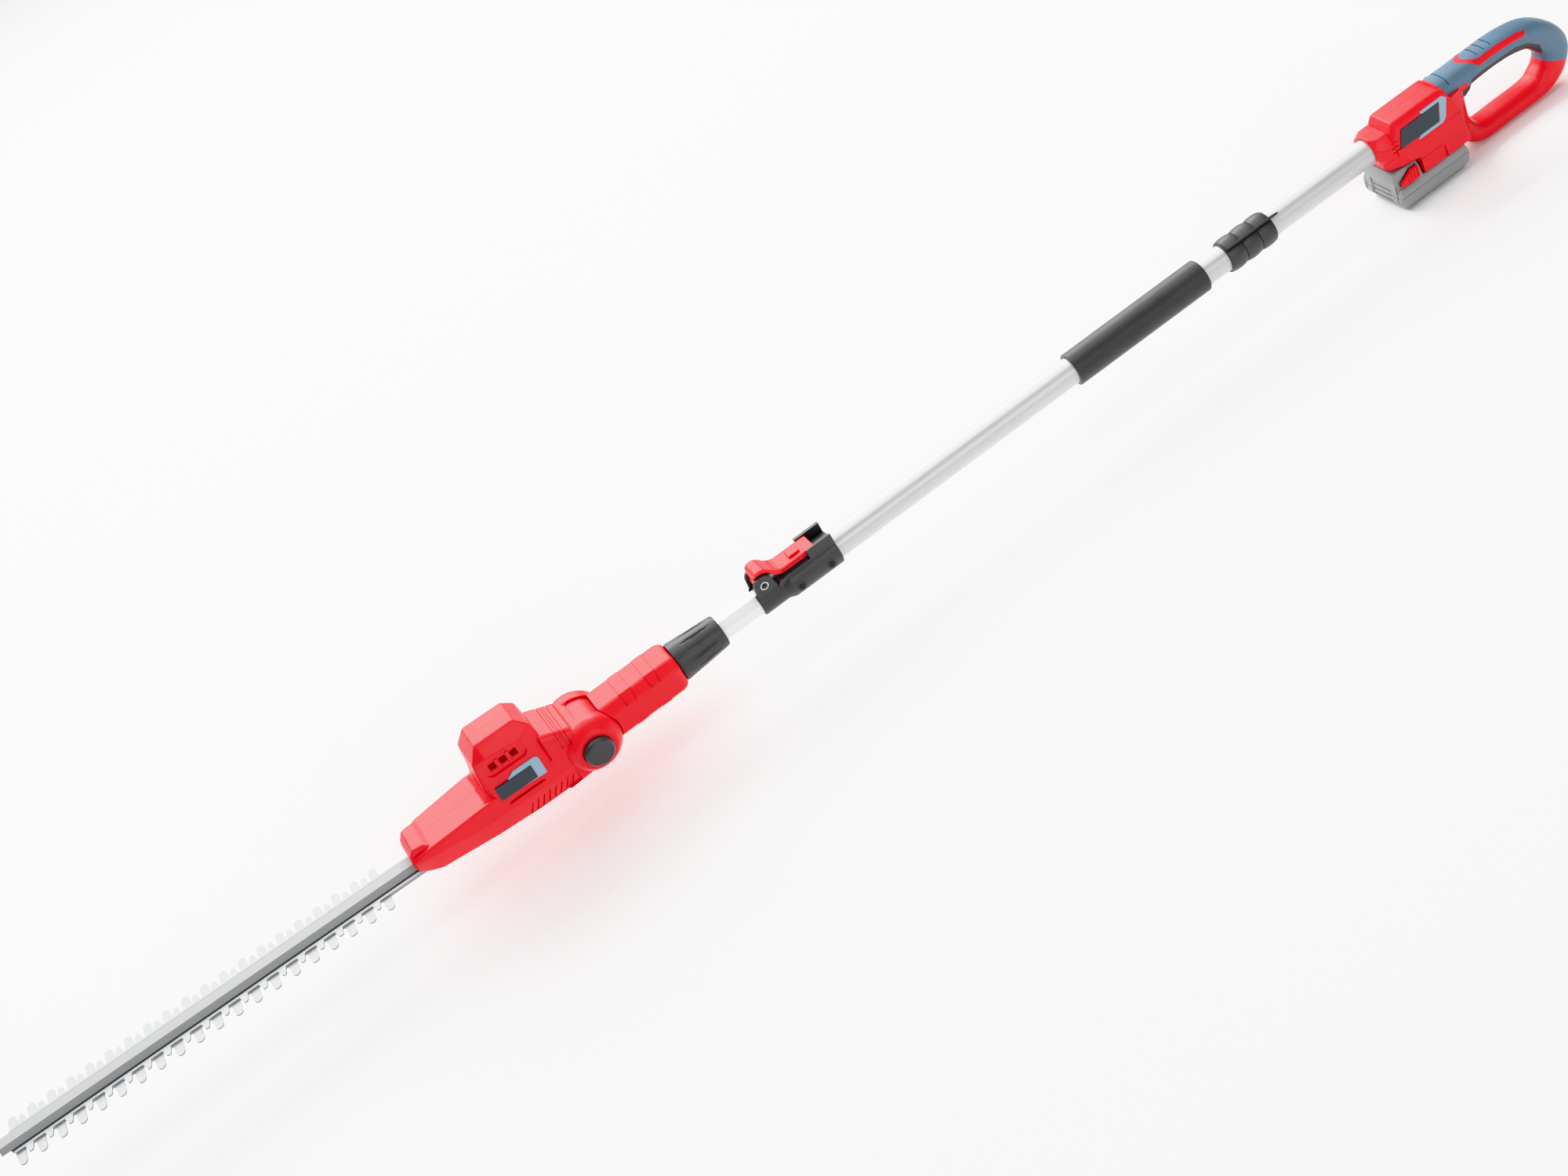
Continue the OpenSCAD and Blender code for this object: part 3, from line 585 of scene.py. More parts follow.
def neck_grooves():
    """Four fine grooves across the top and sides of the neck: X, width and depth."""
    cutters = []
    for x, width, depth in ((19.7, 1.3, 1.2), (23.4, 0.9, 0.9), (26, 0.9, 0.9), (29.4, 1.3, 1.2)):
        slab = block((x - width / 2, -40, 21), (x + width / 2, 40, 60))
        cutters.append(cut(slab, hull(neck_points(depth))))
    return cutters


def flank_slits(side):
    """A shallow panel with slanted grip slits, on the lower flank toward the hinge."""
    panel = side_prism([(30, -13), (86, -16), (96, -33), (30, -33)], side, 10, 45)
    cutters = [cut(panel, hull(nose_points(0.5)))]
    for i in range(8):
        x = 34 + 7.4 * i
        slit = side_prism([(x + 6, -31), (x + 7.6, -31), (x + 1.6, -16), (x, -16)], side, 10, 45)
        cutters.append(cut(slit, hull(nose_points(1.9))))
    return cutters


def build_head():
    """Both halves of the head housing, their badges and the ribs between the vent windows."""
    solid = head_mass()
    cutters = tongue_slot() + neck_grooves()
    for side, _ in SIDES:
        cutters += vent_cutters(side) + flank_slits(side)
        cutters.append(side_prism([(61, 1.2), (65, 4.2), (104, 4.2), (108, 1.2)], side, 29.2, 45))
        cutters.append(rod(17.7, side * 28.5, side * 50, "Y"))
    bar_hole = [(-7, -11.7), (-12, -18), (-19, -18.4), (-19, -23.5)]
    bar_hole += [(19, -23.5), (19, -18.4), (12, -18), (7, -11.7)]
    cutters.append(prism(bar_hole, "X", 150, 240))
    cut(solid, *cutters)
    left, right = halves(solid)
    piece(left, "head_housing_left", "head", red, HEAD, ["head_shell_left"])
    piece(right, "head_housing_right", "head", red, HEAD, ["head_shell_right"])
    surround = [(56, 31), (60, 34.5), (86, 34.5), (95, 28.5), (95, 9.5), (86, 5), (60, 5), (56, 8)]
    badge = [(67, 28.5), (111, 28.5), (111, 10), (67, 10)]
    for side, label in SIDES:
        obj = side_prism(surround, side, 28.5, 31.1, 0.8)
        piece(obj, "head_badge_surround_" + label, "head", blue_trim, HEAD)
        obj = side_prism(badge, side, 28.5, 32.0, 0.7)
        piece(obj, "head_badge_plate_" + label, "head", plate, HEAD, ["head_badge_" + label])
        for x in (80.5, 93.5):
            rib = side_block(side, (x - 2.1, 26.5, 43.5), (x + 2.1, 28.6, 59.5), 1.2, 3)
            piece(rib, "vent_rib_%s_%d" % (label, x), "head", red, HEAD)


def build_knob():
    """Domed tilt knob in its pocket on the left, and the flat cover on the right of the hinge."""
    outline = [(0, 42), (12, 42), (12, 33), (17.3, 33), (17.3, 44.6), (14.8, 47.5), (0, 47.6)]
    knob = revolve(soft_corners(outline, 2.4, 5), "Y", steps=FINE_STEPS)
    piece(knob, "tilt_release_knob", "knob", knob_gloss, HEAD, ["release_knob"])
    outline = [(0, -38), (15, -38), (15, -42), (12.5, -43), (0, -43)]
    cover = revolve(soft_corners(outline, 1.2), "Y", steps=FINE_STEPS)
    piece(cover, "hinge_cover", "head", dark, HEAD, ["hinge_cap"])


def build_blades():
    """Bar and blades keep their CAD shapes, with broken edges and metal finishes."""
    for node in ("upper_blade", "lower_blade"):
        paint(node, teeth_metal)
        chamfer(node, 0.35)
    paint("guide_bar", bar_metal)
    chamfer("guide_bar", 0.5)
    paint("blade_bolts", screw_metal)


def paint(node, material):
    """Gives a CAD node that stays visible its material."""
    obj = frame["nodes"][node]
    obj.data.materials.clear()
    obj.data.materials.append(material)


def chamfer(node, width):
    """Breaks the sharp edges of a CAD node that stays visible."""
    obj = frame["nodes"][node]
    modifier = obj.modifiers.new("edges", "BEVEL")
    modifier.width = width * MM
    modifier.segments = 2
    modifier.limit_method = "ANGLE"
    modifier.angle_limit = math.radians(40)


# ---------- Yoke and collar ----------


def octagon(half_w, half_h, side_cut, top_cut):
    """An upright rectangle's section with its four corners cut off."""
    quarter = [(half_w - side_cut, half_h), (half_w, half_h - top_cut)]
    right = quarter + [(y, -z) for y, z in quarter[::-1]]
    return right + [(-y, z) for y, z in right[::-1]]


def loft_points(sections):
    return [(x, y, z) for x, outline in sections for y, z in outline]


def build_yoke():
    """Eight-sided arm behind the hinge, with two raised bands, and its tongue and drum."""
    rear = low_of("yoke_left", 0) + 19
    front = HINGE_X - 32
    hinge = (HINGE_X, 0, 0)
    bands = ((HINGE_X - 96, HINGE_X - 82), (HINGE_X - 65, HINGE_X - 50))
    wide = octagon(27.5, 24, 11, 10)
    sections = [
        (rear, octagon(22.5, 19.5, 9, 8)),
        (rear + 3, octagon(25.5, 22.3, 10, 9)),
        (rear + 9, wide),
        (front + 20, wide),
    ]
    body = hull(loft_points(sections), 2.2)
    band = octagon(27.5, 24.7, 11, 10.2)
    slim = octagon(27.2, 24, 11, 10)
    for x0, x1 in bands:
        union(body, hull(loft_points([(x0, slim), (x0 + 1, band), (x1 - 1, band), (x1, slim)]), 0.4, 2))
    cut(body, rod(34, -40, 40, "Y", hinge, FINE_STEPS))
    neck = block((HINGE_X - 45, -16.6, -19.5), (HINGE_X - 8, 16.6, 13.5), 1)
    drum_profile = soft_corners([(0, -16.6), (30.5, -16.6), (30.5, 16.6), (0, 16.6)], 0.8)
    union(body, neck, revolve(drum_profile, "Y", hinge, FINE_STEPS))
    cut(body, rod(5.2, -20, 20, "Y", hinge))
    grooves = []
    for side, _ in SIDES:
        for x0, x1 in bands:
            for x, lean in ((x0, 2.2), (x1, -2.2)):
                points = [
                    (x + d + (lean if low else 0), side * y, z)
                    for low, y, z in ((0, 16.4, 25.4), (1, 27.6, 14.4))
                    for d in (-0.45, 0.45)
                ]
                deep = [(px, py - side * 1.2, pz - 1.2) for px, py, pz in points]
                out = [(px, py + side * 2, pz + 2) for px, py, pz in points]
                grooves.append(hull(deep + out))
    cut(body, *grooves)
    left, right = halves(body)
    piece(left, "yoke_cover_left", "arm", red, POLE, ["yoke_left"])
    piece(right, "yoke_cover_right", "arm", red, POLE, ["yoke_right"])


def build_collar():
    """Tapered nut with twelve long, pointed finger grooves."""
    x0, x1 = low_of("collar_nut", 0), high_of("collar_nut", 0)
    length = x1 - x0
    flutes, around = 12, 192
    rear_r, taper, groove_depth, groove_half_width = 18.9, 4.5, 1.5, 0.17
    groove_start, groove_length, groove_end = 0.10, 0.72, 0.82  # shares of the nut's length
    rows = []
    stations = [0, 0.008, 0.03] + [0.06 + 0.88 * i / 32 for i in range(33)] + [0.97, 0.992, 1]
    lips = {0: 1.6, 0.008: 0.7, 0.03: 0.15, 0.97: 0.15, 0.992: 0.7, 1: 1.6}
    for t in stations:
        base = rear_r + taper * t - lips.get(t, 0)
        swell = 0
        if groove_start < t < groove_end:
            swell = max(0, math.sin(math.pi * (t - groove_start) / groove_length))
        row = []
        for k in range(around):
            a = 2 * math.pi * k / around
            phase = (a * flutes / (2 * math.pi)) % 1 - 0.5
            half = groove_half_width * swell**0.7 + 1e-4
            dip = groove_depth * swell * max(0, 1 - (abs(phase) / half) ** 2) if abs(phase) < half else 0
            row.append((x0 + length * t, (base - dip) * math.cos(a), (base - dip) * math.sin(a)))
        rows.append(row)
    nut = grid_solid(rows)
    cut(nut, rod(14.8, x0 - 1, x1 + 1))
    piece(nut, "collar_grip", "collar", dark, POLE, ["collar_nut"])


# ---------- Pole ----------


def build_tubes():
    """Metal tubes, and the foam sleeve with rounded ends."""
    for node in ("rear_tube", "main_tube"):
        paint(node, tube_metal)
    paint("inner_tube", inner_metal)
    chamfer("inner_tube", 0.8)
    x0, x1 = low_of("foam_grip", 0), high_of("foam_grip", 0)
    profile = [(TUBE_R + 0.02, x0), (20, x0), (20, x1), (TUBE_R + 0.02, x1)]
    sleeve = revolve(soft_corners(profile, 2.6, 6), closed=True, steps=FINE_STEPS)
    piece(sleeve, "foam_sleeve", "handle", foam_black, POLE, ["foam_grip"])


def build_clamp():
    """Telescopic clamp: a stepped sleeve with two ears, side walls and a flange."""
    x0, x1 = low_of("clamp_body", 0), high_of("clamp_body", 0)
    step = x1 - 32
    pivot_x, pivot_z = middle("clamp_pin")[0], middle("clamp_pin")[2] - POLE_Z
    outline = [(0, x0), (19.4, x0), (20, x0 + 1), (20, step - 8), (17, step), (17, x1), (0, x1)]
    body = revolve(soft_corners(outline, 1.6), steps=FINE_STEPS)
    arc = [(pivot_x + x, pivot_z + z) for x, z in fan(11.5, range(0, 181, 15))[1:]]
    ear = [(x1 - 1.5, 8)] + arc + [(x1 - 29, 8)]
    rear_wall = [(x0, 4), (x0, 28.6), (x0 + 32, 28.6), (x0 + 32, 19), (x0 + 32, 4)]
    front_wall = [(x0 + 30, 4), (x0 + 30, 17), (x1 - 31, 17), (x1 - 27, 13), (x1 - 27, 4)]
    rib = [(x0 + 32, 11.2), (x0 + 32, 12.6), (x0 + 62, 12.6), (x0 + 62, 11.2)]
    walls = []
    for side, _ in SIDES:
        walls.append(side_prism(ear, side, 8.3, 13, 0.8))
        walls.append(side_prism(rear_wall, side, 11.8, 14.5, 0.7))
        walls.append(side_prism(front_wall, side, 11.8, 14.5, 0.7))
        walls.append(side_prism(rib, side, 14, 16.2, 0.4))
    flange = block((x0, -16.5, 26.8), (x0 + 33, -11.8, 29), 0.6)
    floor = block((x0, -13, 12), (x1 - 30, 13, 15.5), 0.6)
    neck = hull(both_sides([(x1 - 1, 13, 0), (x1 - 1, 13, 13), (x1 - 30, 13, 0), (x1 - 30, 13, 13)]), 1)
    boss = soft_corners([(0, 12), (6, 12), (6, 20.4), (0, 20.4)], 0.8)
    bosses = [revolve(boss, "Y", (x, 0, -2), SMALL_STEPS) for x in (x0 + 15, x0 + 55)]
    union(body, *walls, flange, floor, neck, *bosses)
    bore = [(0, x0 - 1), (TUBE_R, x0 - 1), (TUBE_R, x1 - 42), (14.7, x1 - 42), (14.7, x1 + 1), (0, x1 + 1)]
    cut(body, revolve(bore), block((x1 - 24.5, -8.3, 12.5), (x1 + 2, 8.3, 60)))
    piece(body, "clamp_casting", "handle", dark, POLE, ["clamp_body"])
    turns = [i * math.pi / 4 for i in range(8)]
    ring_profile = [(4.3 + 0.55 * math.cos(a), 13.0 + 0.3 * math.sin(a)) for a in turns]
    ring = revolve(ring_profile, "Y", (pivot_x, 0, pivot_z - 1), SMALL_STEPS, closed=True)
    piece(ring, "lock_ring_mark", "handle", white, POLE)
    pin_profile = soft_corners([(0, -13), (2.5, -13), (2.5, 13.2), (0, 13.2)], 0.5)
    pin = revolve(pin_profile, "Y", (pivot_x, 0, pivot_z))
    piece(pin, "clamp_pivot_pin", "handle", black, POLE, ["clamp_pin"])
    build_clamp_lever(pivot_x, pivot_z, x0)


def build_clamp_lever(px, pz, x0):
    """S-curved lever: a round head over the pivot, a falling arm and a broad ribbed plate."""
    top = [(px + 6.2, pz + 4.5), (px + 6.2, pz + 12.5), (px + 2, pz + 18.3), (px - 6, pz + 18.3)]
    top += [(px - 12, pz + 13.5), (px - 17, pz + 8), (px - 23, pz + 4.5), (px - 30, pz + 3.4)]
    top += [(x0 + 24, pz + 3.4)]
    low = [(x0 + 22.5, pz + 1.5), (x0 + 24, pz - 2.6), (px - 28, pz - 2.6), (px - 20, pz - 0.6)]
    low += [(px - 13, pz + 4.5), (px - 6, pz + 11), (px + 1, pz + 12.2), (px + 4, pz + 9.5), (px + 5, pz + 5)]
    arm = prism(smooth_outline(top + low), "Y", -11.4, 11.4, 1.1, 3)
    cheek = [(px + 8, pz), (px + 5.5, pz + 12), (px - 8, pz + 12), (px - 8, pz - 4), (px, pz - 8)]
    cheeks = prism(cheek + [(px + 6, pz - 5)], "Y", -7.9, 7.9, 1)
    tab = block((x0 + 36, -6, pz + 3), (x0 + 50, 6, pz + 6), 0.9, 3)
    lever = union(arm, cheeks, tab)
    pivot = (px, 0, pz)
    cutters = [rod(2.6, -9, 9, "Y", pivot)]
    for side, _ in SIDES:
        cutters.append(rod(14.6, side * 8.1, side * 13, "Y", pivot))
        for i in range(3):
            x = x0 + 27 + 13.5 * i
            cutters.append(side_block(side, (x, 10.2, pz - 1.2), (x + 12, 14, pz + 1.9), 0.4))
    cut(lever, *cutters)
    piece(lever, "quick_clamp_lever", "clamp_lever", red, POLE, ["clamp_lever"])


def build_coupling():
    """Three swelling bands round the joint, and the snap lever that wraps over them."""
    x0, x1 = low_of("coupling_collar", 0), high_of("coupling_collar", 0)
    third = (x1 - x0) / 3
    pin = (0, middle("coupling_pin")[1], middle("coupling_pin")[2] - POLE_Z)
    pin_steps = 32

    def bands(inner, outer, start, end):
        profile = [(inner, start)]
        x = x0
        for i in range(3):
            a, b = max(start, x + 0.5), min(end, x + third - 0.5)
            for t in (0, 0.08, 0.25, 0.5, 0.75, 0.92, 1):
                swell = outer - 1.5 * abs(2 * t - 1) ** 2.5
                profile.append((swell, a + (b - a) * t))
            if i < 2:
                profile += [(outer - 2.2, b), (outer - 2.2, b + 1)]
            x += third
        return profile + [(inner, end)]

    collar = revolve(bands(TUBE_R + 0.02, 20.4, x0, x1), closed=True, steps=FINE_STEPS)
    lever_room = prism(fan(60, range(47, 213, 11)), "X", x0 - 1, x1 + 1)
    cut(collar, cut(lever_room, rod(17.9, x0 - 2, x1 + 2)))
    for start, end in ((x0 + 2, x0 + 11), (x1 - 11, x1 - 2)):
        union(collar, rod(3.1, start, end, "X", pin, pin_steps))
    cut(collar, rod(TUBE_R, x0 - 1, x1 + 1))
    piece(collar, "coupling_bands", "handle", dark, POLE, ["coupling_collar"])

    lever = revolve(bands(18.15, 20.5, x0 + 2, x1 - 2), closed=True, steps=FINE_STEPS)
    common(lever, prism(fan(60, range(50, 199, 12)), "X", x0, x1))
    knuckle = rod(2.5, x0 + 11.4, x1 - 11.4, "X", pin, pin_steps)
    for start, end in ((x0, x0 + 11.3), (x1 - 11.3, x1)):
        cut(lever, rod(3.4, start, end, "X", pin, pin_steps))
    outline = [(x1 - 2, 18.5), (x1 - 2, 23.5), (x1 - 8, 25.6)]
    outline += [(x0 + 4, 25.6), (x0 - 10.5, 21), (x0 + 2, 18.5)]
    fin = prism(outline, "Y", -1.3, 1.3, 0.7, 3)
    fin.data.transform(Matrix.Rotation(math.radians(-37), 4, "X"))  # leans to the left
    union(lever, knuckle, fin)
    cut(lever, rod(1.6, x0, x1, "X", pin, 24))
    piece(lever, "coupling_snap_lever", "coupling_lever", dark, POLE, ["coupling_lever"])


# ---------- Rear handle ----------

# The D-handle's centre line from the box round to the box: X, Z, half height and half width.
LOOP_PATH = [
    (-40, 12, 16.5, 18),
    (-72.5, 12.3, 16.2, 18),
    (-100, 13.5, 15, 17.9),
    (-130, 13.5, 15, 17.9),
    (-155, 10.5, 15.5, 17.9),
    (-177, 3.5, 16.5, 17.9),
    (-195, -11, 18, 17.9),
    (-205.5, -27, 19.0, 17.5),
    (-206.5, -40, 19.4, 17.2),
    (-200, -54, 18.4, 17),
    (-187, -63.6, 15.8, 17),
    (-170, -69.1, 12.2, 17),
    (-126, -69.7, 11.9, 17),
    (-93, -69.7, 11.9, 17),
    (-77, -63, 12, 17),
    (-67, -49, 12, 17),
    (-62, -27, 12, 17),
]
# What the finger pad, the blue cover and the red inlays take of the loop's skin, seen from the side.
PAD_ZONE = [(-84, 9.5), (-100, 10.5), (-150, 9), (-167, 3), (-182, -10), (-187, -25)]
PAD_ZONE += [(-172, -25), (-172, -12), (-100, -12), (-84, -8)]
COVER_ZONE = [(-40, 40), (-46, 14), (-50, 10.4), (-77, 10.4), (-80, 4), (-84, -9), (-165, -20), (-183, -36)]
COVER_ZONE += [(-240, -64), (-260, -60), (-260, 40)]
STRIPE_ZONE = [(-79, 34), (-80, 28.6), (-86.7, 27.8), (-91.7, 25.2), (-95.5, 21.6), (-97.5, 18.6)]
STRIPE_ZONE += [(-130, 18.6), (-155, 16), (-163, 14), (-168, 19.5), (-155, 22.8), (-130, 25.4)]
STRIPE_ZONE += [(-100, 25.4), (-97, 26.6), (-93.7, 27.8), (-87, 28.7), (-86, 34)]


def loop_solid(inset=0.0):
    """The handle's loop, a rounded-square section swept along its path."""
    steps, sides, squareness = 5, 40, 0.72
    path = []
    last = len(LOOP_PATH) - 1
    for i in range(last):
        ends = [LOOP_PATH[max(0, min(last, i + k))] for k in (-1, 0, 1, 2)]
        path += [catmull(*ends, s / steps) for s in range(steps)]
    path.append(LOOP_PATH[-1])
    rows = []
    for i, (x, z, half_h, half_w) in enumerate(path):
        before, after = path[max(0, i - 1)], path[min(len(path) - 1, i + 1)]
        along = Vector((after[0] - before[0], after[1] - before[1])).normalized()
        row = []
        for k in range(sides):
            a = 2 * math.pi * (k + 0.5) / sides
            up = (half_h - inset) * math.copysign(abs(math.cos(a)) ** squareness, math.cos(a))
            out = (half_w - inset) * math.copysign(abs(math.sin(a)) ** squareness, math.sin(a))
            row.append((x - along.y * up, out, z + along.x * up))
        rows.append(row)
    return grid_solid(rows)


def build_loop():
    """Red core, soft blue cover, red inlays and dark finger pad of the D-handle."""
    slot = block((-98, -6.3, -22), (-60.5, 6.3, 5))
    skin = cut(loop_solid(), loop_solid(1.6))
    cover = common(copy_of(skin), prism(COVER_ZONE, "Y", -40, 40))
    pad = common(copy_of(skin), prism(PAD_ZONE, "Y", -40, 40))
    cut(cover, prism(PAD_ZONE, "Y", -40, 40), copy_of(slot), block((-80, -40, -30), (-30, 40, -5)))
    cut(pad, copy_of(slot))
    grooves = []
    for x, reach in ((-55, 16.5), (-104, 10), (-114, 10), (-124, 10)):
        grooves.append(cut(block((x - 0.7, -reach, 5), (x + 0.7, reach, 40)), loop_solid(1.3)))
    cut(cover, *grooves)
    for side, label in SIDES:
        stripe = common(copy_of(skin), side_prism(STRIPE_ZONE, side, SEAM, 40))
        cut(cover, side_prism(STRIPE_ZONE, side, SEAM, 40))
        piece(stripe, "grip_stripe_" + label, "handle", red, POLE, ["grip_inlay_" + label])
    piece(cover, "soft_grip", "handle", blue, POLE, ["grip_cover"])
    piece(pad, "finger_rest", "handle", dark, POLE, ["finger_pad"])
    bpy.data.objects.remove(skin)
    core = loop_solid(1.7)
    red_zone = prism([(-30, 40), (-260, 40), (-260, -90), (-30, -90)], "Y", -40, 40)
    cut(red_zone, prism(COVER_ZONE, "Y", -50, 50), prism(PAD_ZONE, "Y", -45, 45))
    union(core, common(loop_solid(), red_zone))
    return cut(core, slot)


def housing_solid():
    """The rear housing: front collar, main box, jaw over the battery and rear skirt."""
    collar = hull(
        both_sides(
            [
                (57.5, 8, 19.5),
                (57.5, 18.5, 9),
                (57.5, 20, -6),
                (54, 12, -16),
                (50, 16, 18.4),
                (50, 24, 4),
                (50, 25, -10),
                (50, 18, -16),
                (36, 16, 18.4),
                (36, 26, 3),
                (36, 28, -12),
                (36, 20, -18),
            ]
        ),
        1.4,
    )
    box = hull(
        both_sides(
            [
                (29, 16.5, 26.6),
                (-34, 16.5, 26.6),
                (27, 22, 21.5),
                (-46, 22, 21.5),
                (36, 18, 14),
                (37, 24.5, 0),
                (33, 28.3, -16),
                (22, 30.6, -26.5),
                (-62, 19, 20),
                (-70.5, 17, 8),
                (-70.5, 17, -42),
                (-54, 30.6, -26.5),
            ]
        ),
        1.6,
    )
    skirt = hull(
        both_sides(
            [
                (11, 33.2, -48.6),
                (15, 30.5, -26),
                (11, 28, -10),
                (-56, 33.2, -48.6),
                (-54, 28, -10),
                (-64, 24, -40),
                (-64, 20, -10),
            ]
        ),
        1.2,
    )
    jaw = hull(
        both_sides(
            [
                (52, 19, -8),
                (52, 17.5, -21),
                (46, 20, -26.8),
                (33, 27, -14),
                (30, 27.5, -26.8),
                (14, 30, -26.8),
                (30, 20, 0),
                (14, 24, 0),
                (48, 18, 0),
            ]
        ),
        1.0,
    )
    cut(box, prism(COVER_ZONE, "Y", -50, 50))
    return union(collar, box, skirt, jaw)


def build_housing():
    """Both halves of the rear housing, joined to the loop, with their badges."""
    solid = union(housing_solid(), build_loop())
    bore = [(0, -60), (TUBE_R + 0.05, -60), (TUBE_R + 0.05, 56), (TUBE_R + 2, 60), (0, 60)]
    cutters = [
        revolve(bore),
        block((-50, -18.3, -60), (60, 18.3, -36.7)),
        block((11.5, -40, -60), (60, 40, -27.2)),
    ]
    rail_line = [(11.5, -27.6), (-15, -27.6), (-20, -29.4), (-22.5, -34), (-23, -49)]
    rail_line += [(-19, -49), (-18.6, -36), (-17, -32.4), (-13, -31.4), (11.5, -31.4)]
    for side, _ in SIDES:
        for z, x0, x1 in ((6.5, 30, 39.5), (1.5, 31, 41), (-3.5, 30.5, 40.5)):
            slit = side_block(side, (x0, 21, z - 0.6), (x1, 40, z + 0.6))
            cutters.append(cut(slit, block((-99, -23.2, -99), (99, 23.2, 99))))
        cutters.append(side_prism(rail_line, side, 30.6, 40))
    cut(solid, *cutters)
    left, right = halves(solid)
    piece(left, "handle_housing_left", "handle", red, POLE, ["handle_shell_left"])
    piece(right, "handle_housing_right", "handle", red, POLE, ["handle_shell_right"])
    surround = [(-6, 16), (-38, 16), (-43.5, 11), (-35, -9), (-30, -13)]
    surround += [(6, -13), (2, -9), (-26, -9), (-33, 12), (-8, 12)]
    badge = [(23, 12), (-32, 12), (-25, -9), (31, -9)]
    for side, label in SIDES:
        lean = Matrix.Rotation(side * math.radians(9.75), 4, "X")  # the box's side wall
        obj = side_prism(surround, side, 24.6, 25.9, 0.4)
        obj.data.transform(lean)
        piece(obj, "housing_badge_surround_" + label, "handle", blue_trim, POLE)
        obj = side_prism(badge, side, 24.6, 26.5, 0.6)
        obj.data.transform(lean)
        name = "housing_badge_plate_" + label
        piece(obj, name, "handle", plate, POLE, ["housing_badge_" + label])


def build_trigger():
    """Curved trigger, and the lock-off button on the right side."""
    outline = [(-69, -6), (-69, -14), (-74, -16.6), (-82, -15.6), (-89, -11.6)]
    outline += [(-94, -4), (-94, 0), (-70, 2.4), (-62.5, 2.4), (-62.5, -4)]
    trigger = prism(outline, "Y", -5.9, 5.9, 1.4, 3)
    piece(trigger, "trigger_blade", "trigger", dark, POLE, ["trigger"])
    low = low_of("lock_off_button", 1)
    centre = middle("lock_off_button")
    profile = soft_corners([(0, low), (5.5, low), (5.5, -12.1), (0, -12.1)], 1)
    button = revolve(profile, "Y", (centre[0], 0, centre[2] - POLE_Z), SMALL_STEPS)
    piece(button, "lock_off_cap", "lock_off", dark, POLE, ["lock_off_button"])


# ---------- Battery ----------

BUTTON_RECESS = [(18.8, -31), (29, -31), (45.3, -41), (45.3, -47.2), (18.8, -47.2)]
BUTTON_FACE = [(19.4, -31.6), (28.6, -31.6), (44.6, -41.4), (44.6, -46.6), (19.4, -46.6)]


def build_battery():
    """Battery case with its rails, front block and ribs, and the two release buttons."""
    low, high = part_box("battery_case")
    x0, x1 = low[0] / MM, high[0] / MM
    y1 = high[1] / MM
    bottom = -POLE_Z
    slab = hull(
        both_sides(
            [
                (x1 - 9, y1 - 7, bottom),
                (x0 + 12, y1 - 7, bottom),
                (x1 - 3, y1 - 1, bottom + 10),
                (x0 + 4, y1 - 1, bottom + 10),
                (x1, y1 - 5, bottom + 16),
                (x0, y1 - 6, bottom + 16),
                (x1 - 2, y1 - 0.2, bottom + 27),
                (x0 + 3, y1 - 0.2, bottom + 27),
                (x1 - 4, y1 - 3, bottom + 32.7),
                (x0 + 5, y1 - 3, bottom + 32.7),
            ]
        ),
        2,
    )
    front = hull(
        both_sides(
            [
                (x1 - 1, y1 - 6, bottom + 26),
                (14, y1 - 2, bottom + 26),
                (x1 - 1, y1 - 8, bottom + 44),
                (x1 - 4, y1 - 10, bottom + 52.5),
                (16, y1 - 3.5, bottom + 46),
                (16, y1 - 8, bottom + 52.8),
            ]
        ),
        1.8,
    )
    rails = block((-47.5, -13.8, bottom + 31), (18, 13.8, bottom + 39.7), 0.5)
    flange = block((-47.5, -17.8, bottom + 38.3), (18, 17.8, bottom + 44.8), 0.5)
    case = union(slab, front, rails, flange)
    cutters = [block((22, -18, bottom + 26), (41, 18, bottom + 60), 1.5)]
    for side, _ in SIDES:
        cutters.append(side_prism(BUTTON_RECESS, side, 26, 45))
        cutters.append(side_block(side, (x1 - 2.6, 26, bottom + 6), (x1 + 3, 27.4, bottom + 38)))
    cutters.append(block((x1 - 2.4, -17, bottom + 7), (x1 + 3, 17, bottom + 36), 0.8))
    for z in (12, 19, 26):
        cutters.append(block((x1 - 3.8, -15.5, bottom + z), (x1 + 3, 15.5, bottom + z + 1.6)))
    seam = block((-60, -40, bottom + 21.7), (60, 40, bottom + 22.3))
    cut(seam, block((x0 + 1.6, 1.6 - y1, -99), (x1 - 1.6, y1 - 1.6, 99)))
    cut(case, *cutters, seam)
    nodes = ["battery_case", "battery_top", "battery_cells"]
    piece(case, "battery_housing", "battery", grey, POLE, nodes)
    for side, label in SIDES:
        button = side_prism(BUTTON_FACE, side, 29.5, 34.6, 0.9, 3)
        ribs = []
        for i in range(4):
            x = 22.5 + 4.2 * i
            ribs.append(side_block(side, (x, 33.8, -52), (x + 1.3, 37, -28)))
        cut(button, *ribs)
        name, body = "battery_latch_" + label, "button_" + label
        piece(button, name, body, red, POLE, ["release_button_" + label])


def build_fasteners():
    """Paints the CAD nodes that stay: inner parts, screws and pins, the clamp's pad and the bushes."""
    inner = ("switch_body", "terminal_block", "tube_spigot", "detent_ring")
    drive = ("motor", "motor_pinion", "drive_gear", "gear_shaft", "gear_bearing", "gear_plate")
    screws = ("housing_screws", "yoke_screws", "head_screws", "coupling_pin", "hinge_pin", "trigger_pin")
    for node in inner + drive + screws:
        paint(node, screw_metal)
    paint("clamp_screws", black)
    for node in ("clamp_pad", "tube_bush", "compression_ring"):
        paint(node, dark)


# ---------- Stage ----------


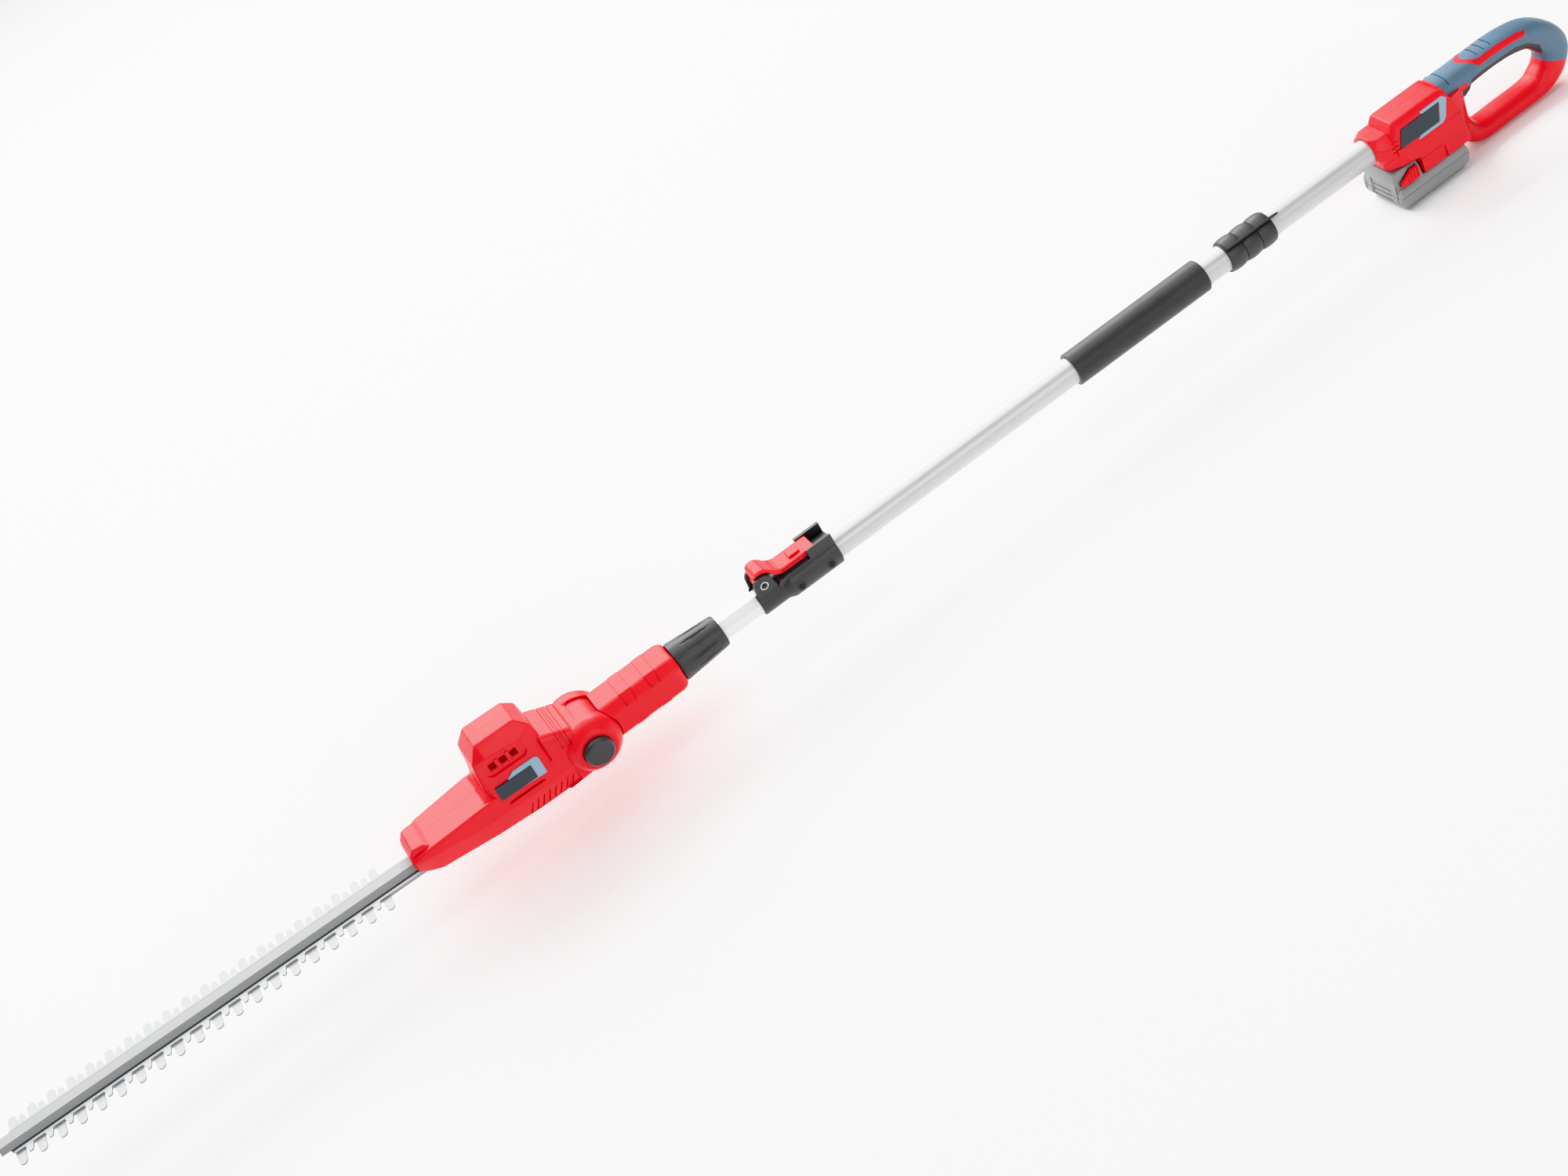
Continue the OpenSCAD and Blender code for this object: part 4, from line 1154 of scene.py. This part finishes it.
def build_stage():
    """Pale paper floor, white surroundings and three large soft lights."""
    bm = bmesh.new()
    bmesh.ops.create_grid(bm, x_segments=1, y_segments=1, size=30)
    floor = to_object(bm, "floor")
    sheet = Nodes("floor_paper", (0.92, 0.92, 0.92), 0.95)
    tone = sheet.ramp(sheet.noise(3, 2), [(0.3, (0.91, 0.91, 0.91)), (0.7, (0.93, 0.93, 0.93))])
    sheet.link(tone, sheet.shader.inputs["Base Color"])
    floor.data.materials.append(sheet.material)
    world = bpy.data.worlds.new("studio")
    bpy.context.scene.world = world
    bpy.context.scene.view_settings.view_transform = "Khronos PBR Neutral"
    world.use_nodes = True
    world.node_tree.nodes["Background"].inputs["Color"].default_value = (1, 1, 1, 1)
    world.node_tree.nodes["Background"].inputs["Strength"].default_value = 0.36

    def softbox(name, place, aim, size, power):
        data = bpy.data.lights.new(name, "AREA")
        data.shape = "RECTANGLE"
        data.size, data.size_y = size
        data.energy = power
        obj = bpy.data.objects.new(name, data)
        obj.location = place
        obj.rotation_euler = (Vector(aim) - Vector(place)).to_track_quat("-Z", "Y").to_euler()
        bpy.context.scene.collection.objects.link(obj)

    softbox("top_softbox", (0.8, -0.4, 2.6), (0.8, 0, 0), (4.5, 2.0), 66)
    softbox("back_softbox", (0.8, -2.6, 1.9), (0.8, 0, 0.1), (4.5, 1.6), 190)
    softbox("fill_softbox", (0.2, 3.0, 1.6), (0.8, 0, 0.1), (3.0, 1.6), 36)


def build_camera():
    """Looks down at the tool's left side, rolled so that the pole runs up to the right."""
    swing = math.radians(82.7)
    rise = math.radians(40)
    roll = math.radians(36.479)
    distance = 2.333
    aim_x = 0.8774
    aim_drop = 0.0046
    back = Vector((math.cos(swing), math.sin(swing) * math.cos(rise), math.sin(swing) * math.sin(rise)))
    level_up = Vector((0, -math.sin(rise), math.cos(rise)))
    level_right = -Vector(
        (math.sin(swing), -math.cos(swing) * math.cos(rise), -math.cos(swing) * math.sin(rise))
    )
    right = level_right * math.cos(roll) - level_up * math.sin(roll)
    up = level_right * math.sin(roll) + level_up * math.cos(roll)
    target = Vector((aim_x, 0, POLE_Z * MM)) - level_up * aim_drop
    data = bpy.data.cameras.new("camera")
    data.lens = 50
    data.sensor_width = 36
    camera = bpy.data.objects.new("camera", data)
    axes = Matrix((right, up, back)).transposed()
    camera.matrix_world = Matrix.Translation(target + back * distance) @ axes.to_4x4()
    bpy.context.scene.collection.objects.link(camera)
    bpy.context.scene.camera = camera


build_camera()
build_stage()
build_head()
build_knob()
build_blades()
build_yoke()
build_collar()
build_tubes()
build_clamp()
build_coupling()
build_housing()
build_trigger()
build_battery()
build_fasteners()
